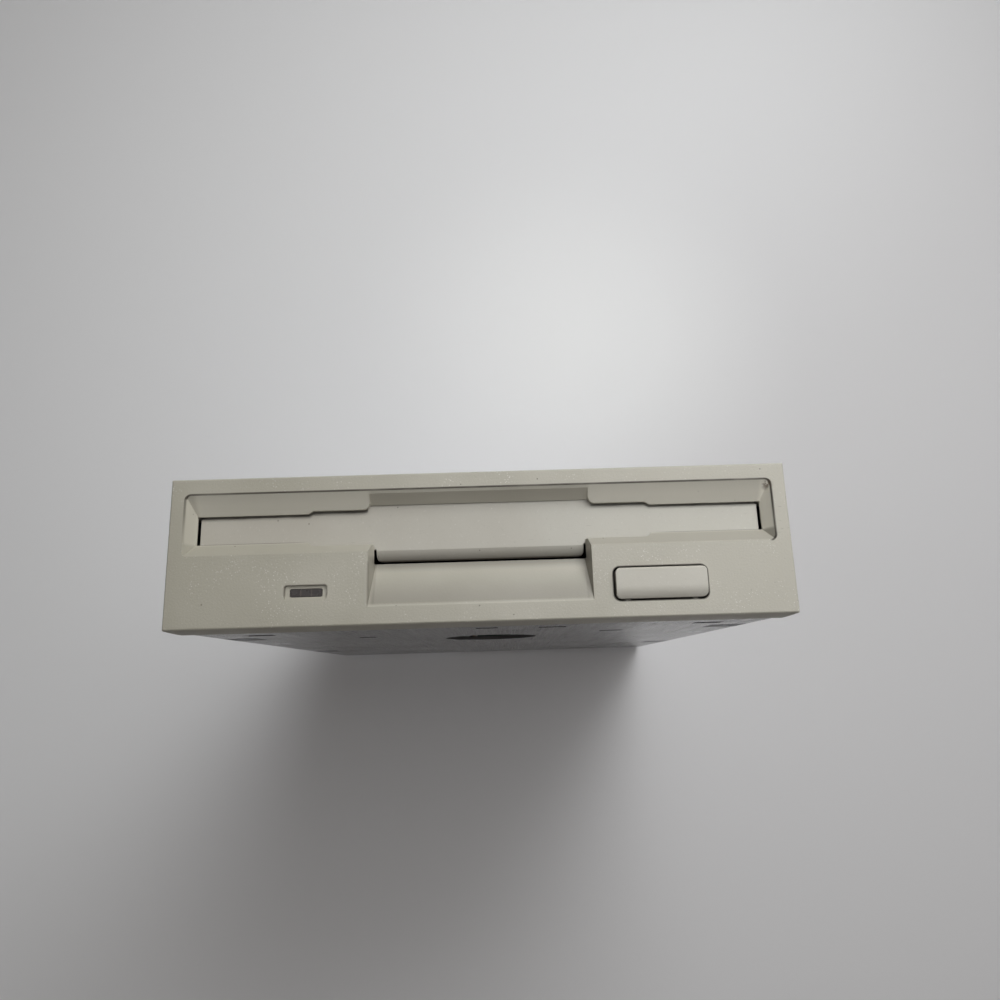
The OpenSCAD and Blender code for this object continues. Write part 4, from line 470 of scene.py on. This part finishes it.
def recess_walls(tone, x, z, outside):
    """The recess's walls are painted paler than the face, as painted light: most of all at the right end, least at
    the left end and by the finger notch. Painted shade darkens the ceiling under the rim, and the right of the floor."""
    inside, above = 1 - rise(outside, -0.3, 0.0), rise(z, *WALL_FOOT)
    share = rise(x, *WALL_END) * RIGHT_MORE - rise(x * -1, *WALL_END) * LEFT_LESS + WALL_SHARE
    share = (rise(abs(x), *NOTCH_SIDE) * 0.6 + 0.4) * (share + rise(x, 14, 24) * 0.1)
    # Painted light: the walls painted paler.
    tone = blend(inside * above * share, tone, WALL_PAINTED_LIGHT)
    # Painted shade on the ceiling under the rim.
    tone = blend(inside * rise(z, 20.3, 22.3) * 0.1, tone, GRIME_AND_SHADE)
    # Painted shade on the right of the floor.
    return blend(inside * (1 - above) * rise(x, -20, 40) * 0.2, tone, GRIME_AND_SHADE)


def finger_notch(tone, x, y, z):
    """Fingers dull the foot of the ramp, which is painted darker as shade as well. Painted shade darkens the crease
    under the flap's lip, the cheeks at both sides and the left corner."""
    sunk = between(z, RAMP_FOOT, RAMP_TOP) * rise(abs(y - FACE_Y), 0.04, 0.3)
    # Finger grime with painted shade at the foot of the ramp, and painted shadow in the crease under the lip.
    fingered_and_shaded = (1 - rise(z, 3.6, 10)) * 0.36 + rise(z, 8.8, 10.6) * 0.5
    tone = blend(sunk * (1 - rise(abs(x), 17, 18)) * fingered_and_shaded, tone, GRIME_AND_SHADE)
    # Painted shade on the cheeks.
    cheek = between(abs(x), (16.9, 17.2), (NOTCH_HALF, NOTCH_HALF + 0.15))
    tone = blend(cheek * sunk * 0.2, tone, GRIME_AND_SHADE)
    # Painted shade along the left corner.
    corner = line_at(x + NOTCH_HALF, 0.05, 0.2) * between(z, (3, 4), (10, 11))
    return blend(corner * 0.3, tone, GRIME_AND_SHADE)


print("ramp from", RAMP_FOOT[0], "to", RAMP_TOP[1], "mm up the bezel")

# %% Rims and stains
STAIN_BROWN = paint(92, 72, 54)
RIM_TOP, RIM_SIDE = (21.2, 21.8), (46.8, 47.4)
GLINT_APART, GLINT_RADIUS, GLINT_SHARE = 0.4, 0.085, 0.42
# Painted shade: the bezel and flap are painted darker from x = 52 towards x = -60.
SHADED_TOWARDS_LEFT = 52, -60


def rims_grime_and_shade(tone, place, x, z, outside):
    """Dark lines of grime and painted shade on the crisp rims of the recess, and lines of painted shade round the
    button's hole and above the lamp.
    """
    left = rise(x * -1, *RIM_SIDE) * rise(z, 13, 22) * 0.7
    crisp = x.math("MAXIMUM", x.math("MAXIMUM", rise(z, *RIM_TOP), rise(x, *RIM_SIDE)), left)
    patchy = rise(noise(place, 6, 2), 0.2, 0.6) * 0.35 + 0.6
    # Grime and painted shade along the crisp rims.
    tone = blend(line_at(outside, 0.06, 0.22) * crisp * patchy, tone, GRIME_AND_SHADE)
    hole, lamp = (line_at(outside_box(x, z, *box), 0.05, 0.2) for box in (BUTTON_BOX, LAMP_BOX))
    # Painted shade in the gap round the button.
    tone = blend(hole * 0.85, tone, GRIME_AND_SHADE)
    # Painted shade under the step above the lamp.
    return blend(lamp * rise(z, 5.0, 5.6) * 0.45, tone, GRIME_AND_SHADE)


def stained(tone, place, x, z):
    """A brown spot in the recess's upper right corner, and scuffs along the right of the face."""
    blot = spot(x, z, STAIN_MIDDLE, 0.2, 1.1) * rise(noise(place, 0.6, 3), 0.4, 0.56)
    tone = blend(blot * 0.75, tone, STAIN_BROWN)
    scuff = rise(noise(stretched(place, 1.6, 1, 0.3), 1, 2), 0.66, 0.74)
    return blend(scuff * rise(x, 44, 49) * on_face(place) * 0.35, tone, GRIME_AND_SHADE)


def bezel_recipe(place):
    """Moulded plastic painted darker towards the left as shade, with painted glints on its face, and all the wear,
    painted light and painted shade of the bezel.
    """
    def sparked(place):
        return on_face(place) * 0.65 + 0.35

    sockets = moulded(paint(184, 180, 169), paint(164, 160, 147), 0.36, 0.06, 0.52, SHADED_TOWARDS_LEFT, sparked)(place)
    x, y, z = axes(place)
    # Painted highlight: white glints where light catches the face's grain.
    glint = specks(place, GLINT_APART, GLINT_RADIUS) * rise(noise(place, 6, 2), 0.47, 0.62) * on_face(place)
    tone = blend(glint * GLINT_SHARE, sockets["Base Color"], WHITE)
    outside = outside_box(x, z, *RECESS_BOX)
    tone = finger_notch(recess_walls(tone, x, z, outside), x, y, z)
    tone = stained(rims_grime_and_shade(tone, place, x, z, outside), place, x, z)
    return {**sockets, "Base Color": tone}


finish("bezel_plastic", bezel_recipe, {})

# %% Flap and button
FLAP_EDGE, FLAP_FOOT, FLAP_STEP_X, FLAP_STEP = 18.75, 14.42, 27.5, 0.45
LIP_SHADE_SPAN, LIP_EDGE_GRIME_AND_SHADE = (11.2, 13), (10.98, 11.3)


def flap_recipe(place):
    """Smooth plastic, painted darker towards the left as shade. Along the upper edge, where the flap closes against
    the slot, it holds a little grime and the painted shadow of the slot's edge. A painted dark line of shade runs
    along its lower edge, the lip is painted darker towards the bottom as shade, and its lowest edge darker still with
    grime and painted shadow.
    """
    sockets = moulded(paint(188, 185, 176), paint(174, 169, 159), 0.5, 0.014, 0.44, SHADED_TOWARDS_LEFT)(place)
    x, y, z = axes(place)
    edge = FLAP_EDGE + (1 - rise(abs(x), FLAP_STEP_X, FLAP_STEP_X + 0.8)) * FLAP_STEP
    rubbed_and_shaded = (1 - rise(edge - z, 0.02, 0.5)) * rise(abs(x), NOTCH_HALF, NOTCH_HALF + 1.4)
    # Grime and the painted shadow of the slot's edge along the upper edge.
    tone = blend(rubbed_and_shaded * (rise(noise(place, 5, 2), 0.25, 0.6) * 0.3 + 0.2), sockets["Base Color"], GRIME_AND_SHADE)
    lower_edge_shade = (1 - rise(z, FLAP_FOOT, FLAP_FOOT + 0.12)) * rise(abs(x), FLAP_STEP_X, FLAP_STEP_X + 4)
    # Painted shade along the lower edge.
    tone = blend(lower_edge_shade * 0.5, tone, GRIME_AND_SHADE)
    # Painted shade: the lip darker towards its bottom.
    tone = blend((1 - rise(z, *LIP_SHADE_SPAN)) * 0.32, tone, GRIME_AND_SHADE)
    # Grime and painted shadow on the lip's lowest edge.
    tone = blend((1 - rise(z, *LIP_EDGE_GRIME_AND_SHADE)) * 0.9, tone, GRIME_AND_SHADE)
    scratch = rise(noise(stretched(place, 2.4, 1, 0.12), 1, 1), 0.74, 0.8) * 0.25
    return {**sockets, "Base Color": blend(scratch, tone, GRIME_AND_SHADE)}


finish("flap_plastic", flap_recipe, {})
finish("button_plastic", moulded(paint(198, 194, 185), paint(188, 184, 174), 0.45, 0.014, 0.45), {})

# %% Other plastics and the lamp's lens
LENS_X, LENS_THIRD = LAMP_BOX[0][0], 0.85
LENS_DARK, LENS_SMOKE, LENS_LINE = paint(44, 39, 37), paint(54, 48, 45), paint(88, 78, 72)


def lens_recipe(place):
    """Smoked clear plastic with two faint upright lines, where the light guide behind it is divided."""
    x, y, z = axes(place)
    edge = line_at(abs(x - LENS_X) - LENS_THIRD, 0.05, 0.16)
    tone = blend(edge * 0.5, blend(noise(place, 2, 2), LENS_DARK, LENS_SMOKE), LENS_LINE)
    relief = noise(place, 0.6, 2) * 0.004
    return {"Base Color": tone, "Roughness": 0.18 + noise(place, 1.2, 2) * 0.2, "Normal": dents(relief)}


finish("lamp_lens", lens_recipe, {"Coat Weight": 0.3})
finish("white_plastic", moulded(paint(226, 223, 213), paint(216, 212, 200), 0.5, 0.01, 0.42), {})
finish("black_plastic", moulded(paint(44, 44, 46), paint(38, 38, 40), 0.3, 0.02, 0.5), {})
finish("blue_sleeve", moulded(paint(46, 66, 118), paint(40, 58, 106), 0.6, 0.004, 0.3), {})

# %% [markdown]
# ## Metals
# The cover and the bottom plate are zinc plated steel sheet. Rolling leaves faint lines along the sheet, plating
# gives a dull sheen, and handling leaves smears that are a little smoother. The bottom plate's punched edges are
# rusty, and painted near black as shade as well. The frame is a die casting, whose skin is finely pitted, and what
# faces down on it is painted darker as shade. Stretching one noise far along an axis gives the rolled lines without
# drawing any of them.

# %% Sheet, casting, wire and turned steel
SMEAR_SIZE, FLECK_SIZE, FLOW_SIZE, PIT_SIZE = 21, 0.45, 9, 0.5
DULL_APART, DULL_RADIUS, DULL_SHARE = 5, 0.2, 0.4
DULL_SPOT, RUST_AND_SHADE, PIT_GREY = paint(96, 92, 88), paint(26, 22, 20), paint(70, 70, 72)


def rolled(pale, shade, along, rough, depth, punched=False):
    """A recipe for sheet or drawn metal, with fine lines that run along one axis. The punched edges of a plated
    sheet are uncoated steel, dark with rust, and painted near black as shade as well, so that slots read dark."""
    def recipe(place):
        lines = noise(stretched(place, *along), 1.0, 3)
        smear = noise(place, SMEAR_SIZE, 3)
        fleck = noise(place, FLECK_SIZE, 2)
        tone = blend(rise(smear * 0.7 + lines * 0.3, 0.35, 0.65), pale, shade)
        tone = blend(specks(place, DULL_APART, DULL_RADIUS) * DULL_SHARE, tone, DULL_SPOT)
        sheen = (smear - 0.5) * 0.14 + (lines - 0.5) * 0.2 + rough
        sockets = {"Normal": dents((lines - 0.5) * depth + (fleck - 0.5) * depth * 0.8)}
        if punched:
            facing = place.node("ShaderNodeNewGeometry", {}, {}, "True Normal")
            # Rust and painted shade on the punched edges.
            bare_and_shaded = 1 - rise(abs(axes(facing)[2]), 0.72, 0.95)
            tone = blend(bare_and_shaded * 0.95, tone, RUST_AND_SHADE)
            sheen = sheen + bare_and_shaded * 0.3
            sockets["Metallic"] = 1 - bare_and_shaded
        return {"Base Color": tone, "Roughness": sheen, **sockets}
    return recipe


def cast(pale, shade, rough, depth, shade_below=0.0):
    """A recipe for cast or sintered metal, pitted all over, with cloudy flow marks. Painted shade darkens what faces
    down, by the share in the last argument."""
    def recipe(place):
        flow = noise(stretched(place, 1, 2.2, 1), FLOW_SIZE, 4)
        pits = noise(place, PIT_SIZE, 3)
        tone = blend(rise(flow, 0.3, 0.7), pale, shade)
        facing = place.node("ShaderNodeNewGeometry", {}, {}, "True Normal")
        # Painted shade on what faces down.
        tone = blend(rise(axes(facing)[2] * -1, 0.6, 0.9) * shade_below, tone, GRIME_AND_SHADE)
        tone = blend(rise(pits, 0.6, 0.72) * 0.35, tone, PIT_GREY)
        return {"Base Color": tone, "Roughness": (flow - 0.5) * 0.2 + rough,
                "Normal": dents((pits - 0.5) * depth)}
    return recipe


ALONG_X, ALONG_Y, ALONG_Z = (40, 0.22, 0.22), (0.22, 40, 0.22), (0.22, 0.22, 40)
METAL = {"Metallic": 1.0}
finish("cover_steel", rolled(paint(198, 199, 200), paint(184, 185, 187), ALONG_Y, 0.48, 0.004), METAL)
finish("base_steel", rolled(paint(150, 149, 148), paint(132, 131, 131), ALONG_Y, 0.26, 0.004, punched=True), METAL)
finish("zinc_steel", rolled(paint(186, 190, 194), paint(166, 170, 174), ALONG_X, 0.38, 0.004), METAL)
finish("bright_steel", rolled(paint(206, 208, 210), paint(190, 192, 195), ALONG_Y, 0.24, 0.002), METAL)
finish("dark_steel", rolled(paint(110, 113, 117), paint(92, 95, 99), ALONG_X, 0.45, 0.006), METAL)
finish("spring_steel", rolled(paint(158, 161, 166), paint(134, 137, 142), ALONG_X, 0.34, 0.002), METAL)
finish("cast_frame", cast(paint(172, 175, 178), paint(150, 153, 157), 0.5, 0.012, 0.7), METAL)
finish("bronze", cast(paint(176, 142, 82), paint(150, 116, 62), 0.4, 0.006), METAL)
finish("gold_pins", rolled(paint(226, 186, 96), paint(206, 164, 78), ALONG_Y, 0.28, 0.002), METAL)
finish("copper_wire", rolled(paint(196, 112, 62), paint(168, 88, 46), ALONG_Z, 0.34, 0.002), METAL)
finish("magnet", cast(paint(86, 87, 90), paint(66, 67, 70), 0.5, 0.008), {"Metallic": 0.4})
finish("ferrite", cast(paint(58, 57, 58), paint(44, 43, 44), 0.42, 0.004), {})

# %% [markdown]
# ## Boards and flat cables
# A circuit board is copper under green lacquer, so its tracks show as paler green lines that run one way in one
# patch and the other way in the next. A flat cable is film with straight conductors inside it. Cells pick the
# direction of each patch, and a saw-tooth of the place draws the lines.

# %% Lacquered board and films
PATCH_SIZE, TRACK_PITCH, TRACK_SHARE, TRACK_BLUR = 7, 0.9, 0.45, 0.06
PAD_APART, PAD_RADIUS, WIRE_SHARE = 2.6, 0.5, 0.55
LACQUER, OVER_COPPER, TINNED = paint(26, 74, 48), paint(52, 112, 74), paint(186, 184, 176)


def tracks(along, pitch, share):
    """1 on lines that repeat every pitch millimetres and fill that share of it."""
    phase = along.math("FRACT", along / pitch)
    return line_at(phase - 0.5, share / 2 - TRACK_BLUR, share / 2 + TRACK_BLUR)


def board_recipe(place):
    """Green lacquer over tracks that run one way in some patches and the other way in the rest, with tinned pads."""
    x, y, z = axes(place)
    patch = place.node("ShaderNodeTexVoronoi", {}, {"Vector": place, "Scale": 1 / PATCH_SIZE}, "Color")
    pick = rise(axes(patch)[0], 0.48, 0.52)
    over_x, over_y = (tracks(along, TRACK_PITCH, TRACK_SHARE) for along in (x, y))
    lines = over_x * pick + over_y * (1 - pick)
    pads = specks(place, PAD_APART, PAD_RADIUS)
    tone = blend(pads, blend(lines * 0.8, LACQUER, OVER_COPPER), TINNED)
    return {"Base Color": tone, "Roughness": 0.36 + noise(place, 6, 2) * 0.1, "Metallic": pads * 0.8,
            "Normal": dents(lines * 0.03 + pads * 0.04)}


def film(pale, copper, across, pitch):
    """A recipe for a flat cable whose conductors run straight, spaced along axis number across."""
    def recipe(place):
        lines = tracks(axes(place)[across], pitch, WIRE_SHARE)
        tone = blend(lines * 0.75, blend(noise(place, 5, 2), pale, copper), copper)
        return {"Base Color": tone, "Roughness": 0.3 + noise(place, 3, 2) * 0.12, "Normal": dents(lines * 0.02)}
    return recipe


finish("circuit_board", board_recipe, {})
finish("pale_flex", film(paint(214, 212, 204), paint(176, 174, 168), 0, 1.0), {})
finish("amber_flex", film(paint(186, 116, 44), paint(142, 78, 30), 0, 0.8), {})

# %% [markdown]
# ## Solids that keep their shape
# A solid whose shape is already right stays as it is and only changes its material. The record says which finish
# each node has, so one loop dresses all of them.

# %% Dress every solid
for name, solid in nodes.items():
    for holder in solid.material_slots:
        holder.material = finishes[slot_of[name]]
print("dressed", len(nodes), "solids")

# %% [markdown]
# ## Softened edges
# No moulded, cast or punched piece has a knife edge: light catches on a small round. The solid's triangles are
# merged and its flat areas joined, and a Bevel modifier then rounds every edge that turns by more than a few degrees.
# Edge weights let one modifier give each edge its own width, so a rim can be softer than the corners round it.

# %% Rounded copies
WELD = 0.002 * MM
FLAT_ANGLE, EDGE_ANGLE = math.radians(0.6), math.radians(20)


def show(piece, node, stretch=None):
    """Puts a finished piece on its node's body, in the node's place and with the node's finish. stretch gives the
    other body that a piece reaches to, and the points where it leaves the one and where it meets the other."""
    scene.collection.objects.link(piece)
    piece.data.materials.append(finishes[slot_of[node]])
    body = body_of(nodes[node])[0]
    if stretch:
        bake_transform(piece, body, *stretch)
    else:
        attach(piece, body)
    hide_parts(node)


def merged_copy(node, name):
    """A copy of a node's mesh with its triangles merged and its flat areas joined."""
    solid = nodes[node].data
    corners, sides = np.empty(len(solid.vertices) * 3), np.empty(len(solid.loops), int)
    solid.vertices.foreach_get("co", corners)
    solid.loops.foreach_get("vertex_index", sides)
    mesh = bpy.data.meshes.new(name)
    mesh.from_pydata(corners.reshape(-1, 3), [], sides.reshape(-1, 3))
    work = bmesh.new()
    work.from_mesh(mesh)
    bmesh.ops.remove_doubles(work, verts=work.verts, dist=WELD)
    bmesh.ops.dissolve_limit(work, angle_limit=FLAT_ANGLE, verts=work.verts, edges=work.edges)
    return mesh, work


def softened(node, name, width, steps, soft_rims=None):
    """A copy of a node whose edges are rounded over width millimetres. soft_rims(starts, ends) may give some edges,
    known by the places of their ends, a width of their own, and 0 for the rest."""
    mesh, work = merged_copy(node, name)
    ends = np.array([[v.co for v in edge.verts] for edge in work.edges]) / MM
    turns = np.array([edge.calc_face_angle(0.0) for edge in work.edges])
    widths = np.full(len(turns), float(width))
    if soft_rims:
        widths = np.maximum(widths, soft_rims(ends[:, 0], ends[:, 1]))
    widths[turns < EDGE_ANGLE] = 0
    weight = work.edges.layers.float.new("bevel_weight_edge")
    for edge, share in zip(work.edges, widths / widths.max()):
        edge[weight] = share
    work.to_mesh(mesh)
    work.free()
    mesh.shade_smooth()
    piece = bpy.data.objects.new(name, mesh)
    bevel = piece.modifiers.new("soft_edges", "BEVEL")
    bevel.width, bevel.segments, bevel.limit_method = widths.max() * MM, steps, "WEIGHT"
    bevel.harden_normals = True
    show(piece, node)
    print(name, "edges", len(widths), "rounded", int((widths > 0).sum()))


# %% [markdown]
# The bezel's recess has two kinds of rim. Above and at the sides it is crisp, and grime sits in it. Below it flows
# softly into the face, and so do the shoulders where the recess meets the finger notch.

# %% Bezel, flap, button and metalwork
RIM_SOFT, SHOULDER_SOFT, CHEEK_SOFT = 0.8, 0.9, 0.35
RIM_HALF, RIM_NEAR, CHEEK_X = 48.4, 0.2, (16.4, 18.5)
RIM_Z, SHOULDER_Z, CHEEK_Z = (11.9, 13.4), (12, 14.5), (3, 12.5)


def held(values, limits):
    """True where a value lies between two limits."""
    return (limits[0] < values) & (values < limits[1])


def bezel_rims(starts, ends):
    """Widths of the bezel's softer edges, from where both ends of an edge lie."""
    def both(test):
        return test(*starts.T) & test(*ends.T)

    rim = both(lambda x, y, z: (abs(y - FACE_Y) < RIM_NEAR) & (abs(x) < RIM_HALF) & held(z, RIM_Z))
    shoulder = both(lambda x, y, z: held(abs(x), CHEEK_X) & held(z, SHOULDER_Z))
    cheek = both(lambda x, y, z: held(abs(x), CHEEK_X) & held(z, CHEEK_Z))
    return RIM_SOFT * rim + SHOULDER_SOFT * shoulder + CHEEK_SOFT * cheek


softened("bezel", "bezel_moulding", 0.2, 5, bezel_rims)
softened("flap", "flap_moulding", 0.2, 3)
softened("eject_button", "button_cap", 0.25, 3)
softened("top_cover", "cover_sheet", 0.12, 2)
softened("bottom_plate", "base_sheet", 0.12, 2)
softened("frame", "frame_casting", 0.18, 2)

# %% [markdown]
# ## Lead screw
# The stepper turns a rod with one steep groove, and a pin on the head carriage follows it: 20 steps make one turn and
# 3.75 mm of travel. The rod is a grid of rings whose radius drops by the groove's depth wherever the ring's angle and
# its place along the rod agree.

# %% Grooved rod
SCREW_PITCH, GROOVE_HALF, GROOVE_DEPTH, GROOVE_RUNOUT = 3.75, 0.62, 0.42, 2.5
SCREW_RINGS, SCREW_SIDES = 360, 40


def grid_mesh(name, points, wrap_rows):
    """A sheet of quads through points[row, column], with the last column joined to the first."""
    rows, columns = points.shape[:2]
    number = np.arange(rows * columns).reshape(rows, columns)
    if wrap_rows:
        number = np.vstack([number, number[:1]])
    here, after = number, np.roll(number, -1, axis=1)
    quads = np.stack([here[:-1], after[:-1], after[1:], here[1:]], axis=-1).reshape(-1, 4)
    mesh = bpy.data.meshes.new(name)
    mesh.from_pydata(points.reshape(-1, 3) * MM, [], quads)
    work = bmesh.new()
    work.from_mesh(mesh)
    bmesh.ops.remove_doubles(work, verts=work.verts, dist=WELD / 10)
    bmesh.ops.recalc_face_normals(work, faces=work.faces)
    work.to_mesh(mesh)
    work.free()
    mesh.shade_smooth()
    return mesh


def grooved_rod(low, high):
    """Rings along y. The radius is the rod's, less a rounded groove wherever the place along the rod, in turns of
    the pitch, is the same as the angle. The groove fades out at both ends, and a ring of no radius closes each."""
    centre, radius = (low + high) / 2, (high[0] - low[0]) / 2
    along = np.linspace(low[1], high[1], SCREW_RINGS)[:, None]
    angle = np.linspace(0, 2 * np.pi, SCREW_SIDES, endpoint=False)[None, :]
    turns = along / SCREW_PITCH - angle / (2 * np.pi)
    off = np.abs(turns - np.round(turns)) * SCREW_PITCH
    fade = np.clip(np.minimum(along - low[1], high[1] - along) / GROOVE_RUNOUT, 0, 1)
    groove = GROOVE_DEPTH * fade * np.clip(1 - (off / GROOVE_HALF) ** 2, 0, 1)
    reach = radius - groove
    reach = np.vstack([0 * reach[:1], reach, 0 * reach[:1]])
    along = np.vstack([along[:1], along, along[-1:]]) + 0 * angle
    return np.stack([centre[0] + reach * np.cos(angle), along, centre[2] + reach * np.sin(angle)], axis=-1)


screw_box = [np.array(corner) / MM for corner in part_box("lead_screw")]
screw = bpy.data.objects.new("grooved_screw", grid_mesh("grooved_screw", grooved_rod(*screw_box), False))
show(screw, "lead_screw")
print("grooved screw", np.round(screw_box[1] - screw_box[0], 2), "mm, faces", len(screw.data.polygons))

# %% [markdown]
# ## Stator windings
# Each stator tooth carries a coil of enamelled copper wire. One coil is a rounded oblong carried along its tooth,
# whose size swells and shrinks once per turn of wire, so the turns lie side by side. The grid closes on itself both
# ways, through the coil's inside, and is turned into place for each tooth.

# %% Wound coils
COIL_IN, COIL_LONG, COIL_WIDE, COIL_TALL, COIL_MID_Z = 18.2, 4.8, 4.6, 3.6, 7.4
TOOTH_WIDE, TOOTH_TALL = 2.7, 1.7
COIL_TURNS, RINGS_PER_TURN, COIL_SIDES, WIRE_DIP = 15, 5, 36, 0.1
SPINDLE_Y, FIRST_COIL, COIL_STEP, COILS = -22.0, 140.0, 20.0, 14
OBLONG_POWER = 0.36


def wound_coil(turn):
    """Rings along the tooth. Each ring is an oblong, cos and sin raised to a low power, as wide and tall as the coil
    less a dip between one turn of wire and the next. A ring on the tooth at each end closes the coil inside."""
    step = np.linspace(0, 1, COIL_TURNS * RINGS_PER_TURN + 1)
    dip = WIRE_DIP * (1 - np.abs(np.sin(np.pi * COIL_TURNS * step)))
    along = COIL_IN + COIL_LONG * np.concatenate([[0], step, [1]])
    wide = np.concatenate([[TOOTH_WIDE / 2], COIL_WIDE / 2 - dip, [TOOTH_WIDE / 2]])[:, None]
    tall = np.concatenate([[TOOTH_TALL / 2], COIL_TALL / 2 - dip, [TOOTH_TALL / 2]])[:, None]
    angle = np.linspace(0, 2 * np.pi, COIL_SIDES, endpoint=False)[None, :]
    oblong = [np.sign(f(angle)) * np.abs(f(angle)) ** OBLONG_POWER for f in (np.cos, np.sin)]
    side, up = wide * oblong[0], tall * oblong[1]
    out = along[:, None] + 0 * angle
    c, s = np.cos(turn), np.sin(turn)
    return np.stack([out * c - side * s, SPINDLE_Y + out * s + side * c, COIL_MID_Z + up], axis=-1)


def joined(name, grids, wrap_rows):
    """One piece made of several grids."""
    whole = bmesh.new()
    for grid in grids:
        whole.from_mesh(grid_mesh(name, grid, wrap_rows))
    piece = bpy.data.objects.new(name, bpy.data.meshes.new(name))
    whole.to_mesh(piece.data)
    whole.free()
    piece.data.shade_smooth()
    return piece


coil_angles = np.radians(FIRST_COIL + COIL_STEP * np.arange(COILS))
winding = joined("coil_windings", [wound_coil(turn) for turn in coil_angles], True)
show(winding, "stator_coils")
print("windings", COILS, "coils, faces", len(winding.data.polygons))

# %% [markdown]
# ## Slide springs
# Two coil springs pull the slide plate forward as a disk drops into place, and pressing the button stretches them
# again. One end is held by the frame and the other by the slide. The wire is a tube swept along a helix, and its
# points follow the frame at one end and the slide at the other, so the turns draw together as the real ones do.

# %% Coil springs
SPRING_TURNS, SPRING_WIRE, RINGS_PER_COIL, WIRE_SIDES = 20, 0.17, 20, 8


def coiled_wire(low, high, side):
    """A tube along a helix. The middle of each ring goes round the spring's line once per turn, and the ring's points
    lie round that middle, square to the wire. A ring of no size closes each end."""
    reach = (high[2] - low[2]) / 2
    turn = np.linspace(0, 2 * np.pi * SPRING_TURNS, SPRING_TURNS * RINGS_PER_COIL + 1)
    along = np.linspace(low[1] + SPRING_WIRE, high[1] - SPRING_WIRE, len(turn))
    out = np.stack([np.cos(turn), 0 * turn, np.sin(turn)], axis=-1)
    line = np.stack([0 * turn + side * (high[0] - reach), along, 0 * turn + low[2] + reach], axis=-1)
    middle = line + (reach - SPRING_WIRE) * out
    ahead = np.gradient(middle, axis=0)
    across = np.cross(ahead / np.linalg.norm(ahead, axis=1, keepdims=True), out)
    around = np.linspace(0, 2 * np.pi, WIRE_SIDES, endpoint=False)[None, :, None]
    ring = SPRING_WIRE * (np.cos(around) * out[:, None] + np.sin(around) * across[:, None])
    ring = np.concatenate([0 * ring[:1], ring, 0 * ring[-1:]])
    return np.concatenate([middle[:1], middle, middle[-1:]])[:, None] + ring


spring_box = [np.array(corner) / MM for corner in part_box("slide_springs")]
springs = joined("coil_springs", [coiled_wire(*spring_box, side) for side in (-1, 1)], False)
spring_ends = [(0, corner[1] * MM, 0) for corner in spring_box]
show(springs, "slide_springs", (body_of(nodes["slide_plate"])[0], *spring_ends))
print("springs", np.round(spring_box[1][1] - spring_box[0][1], 2), "mm long, faces", len(springs.data.polygons))
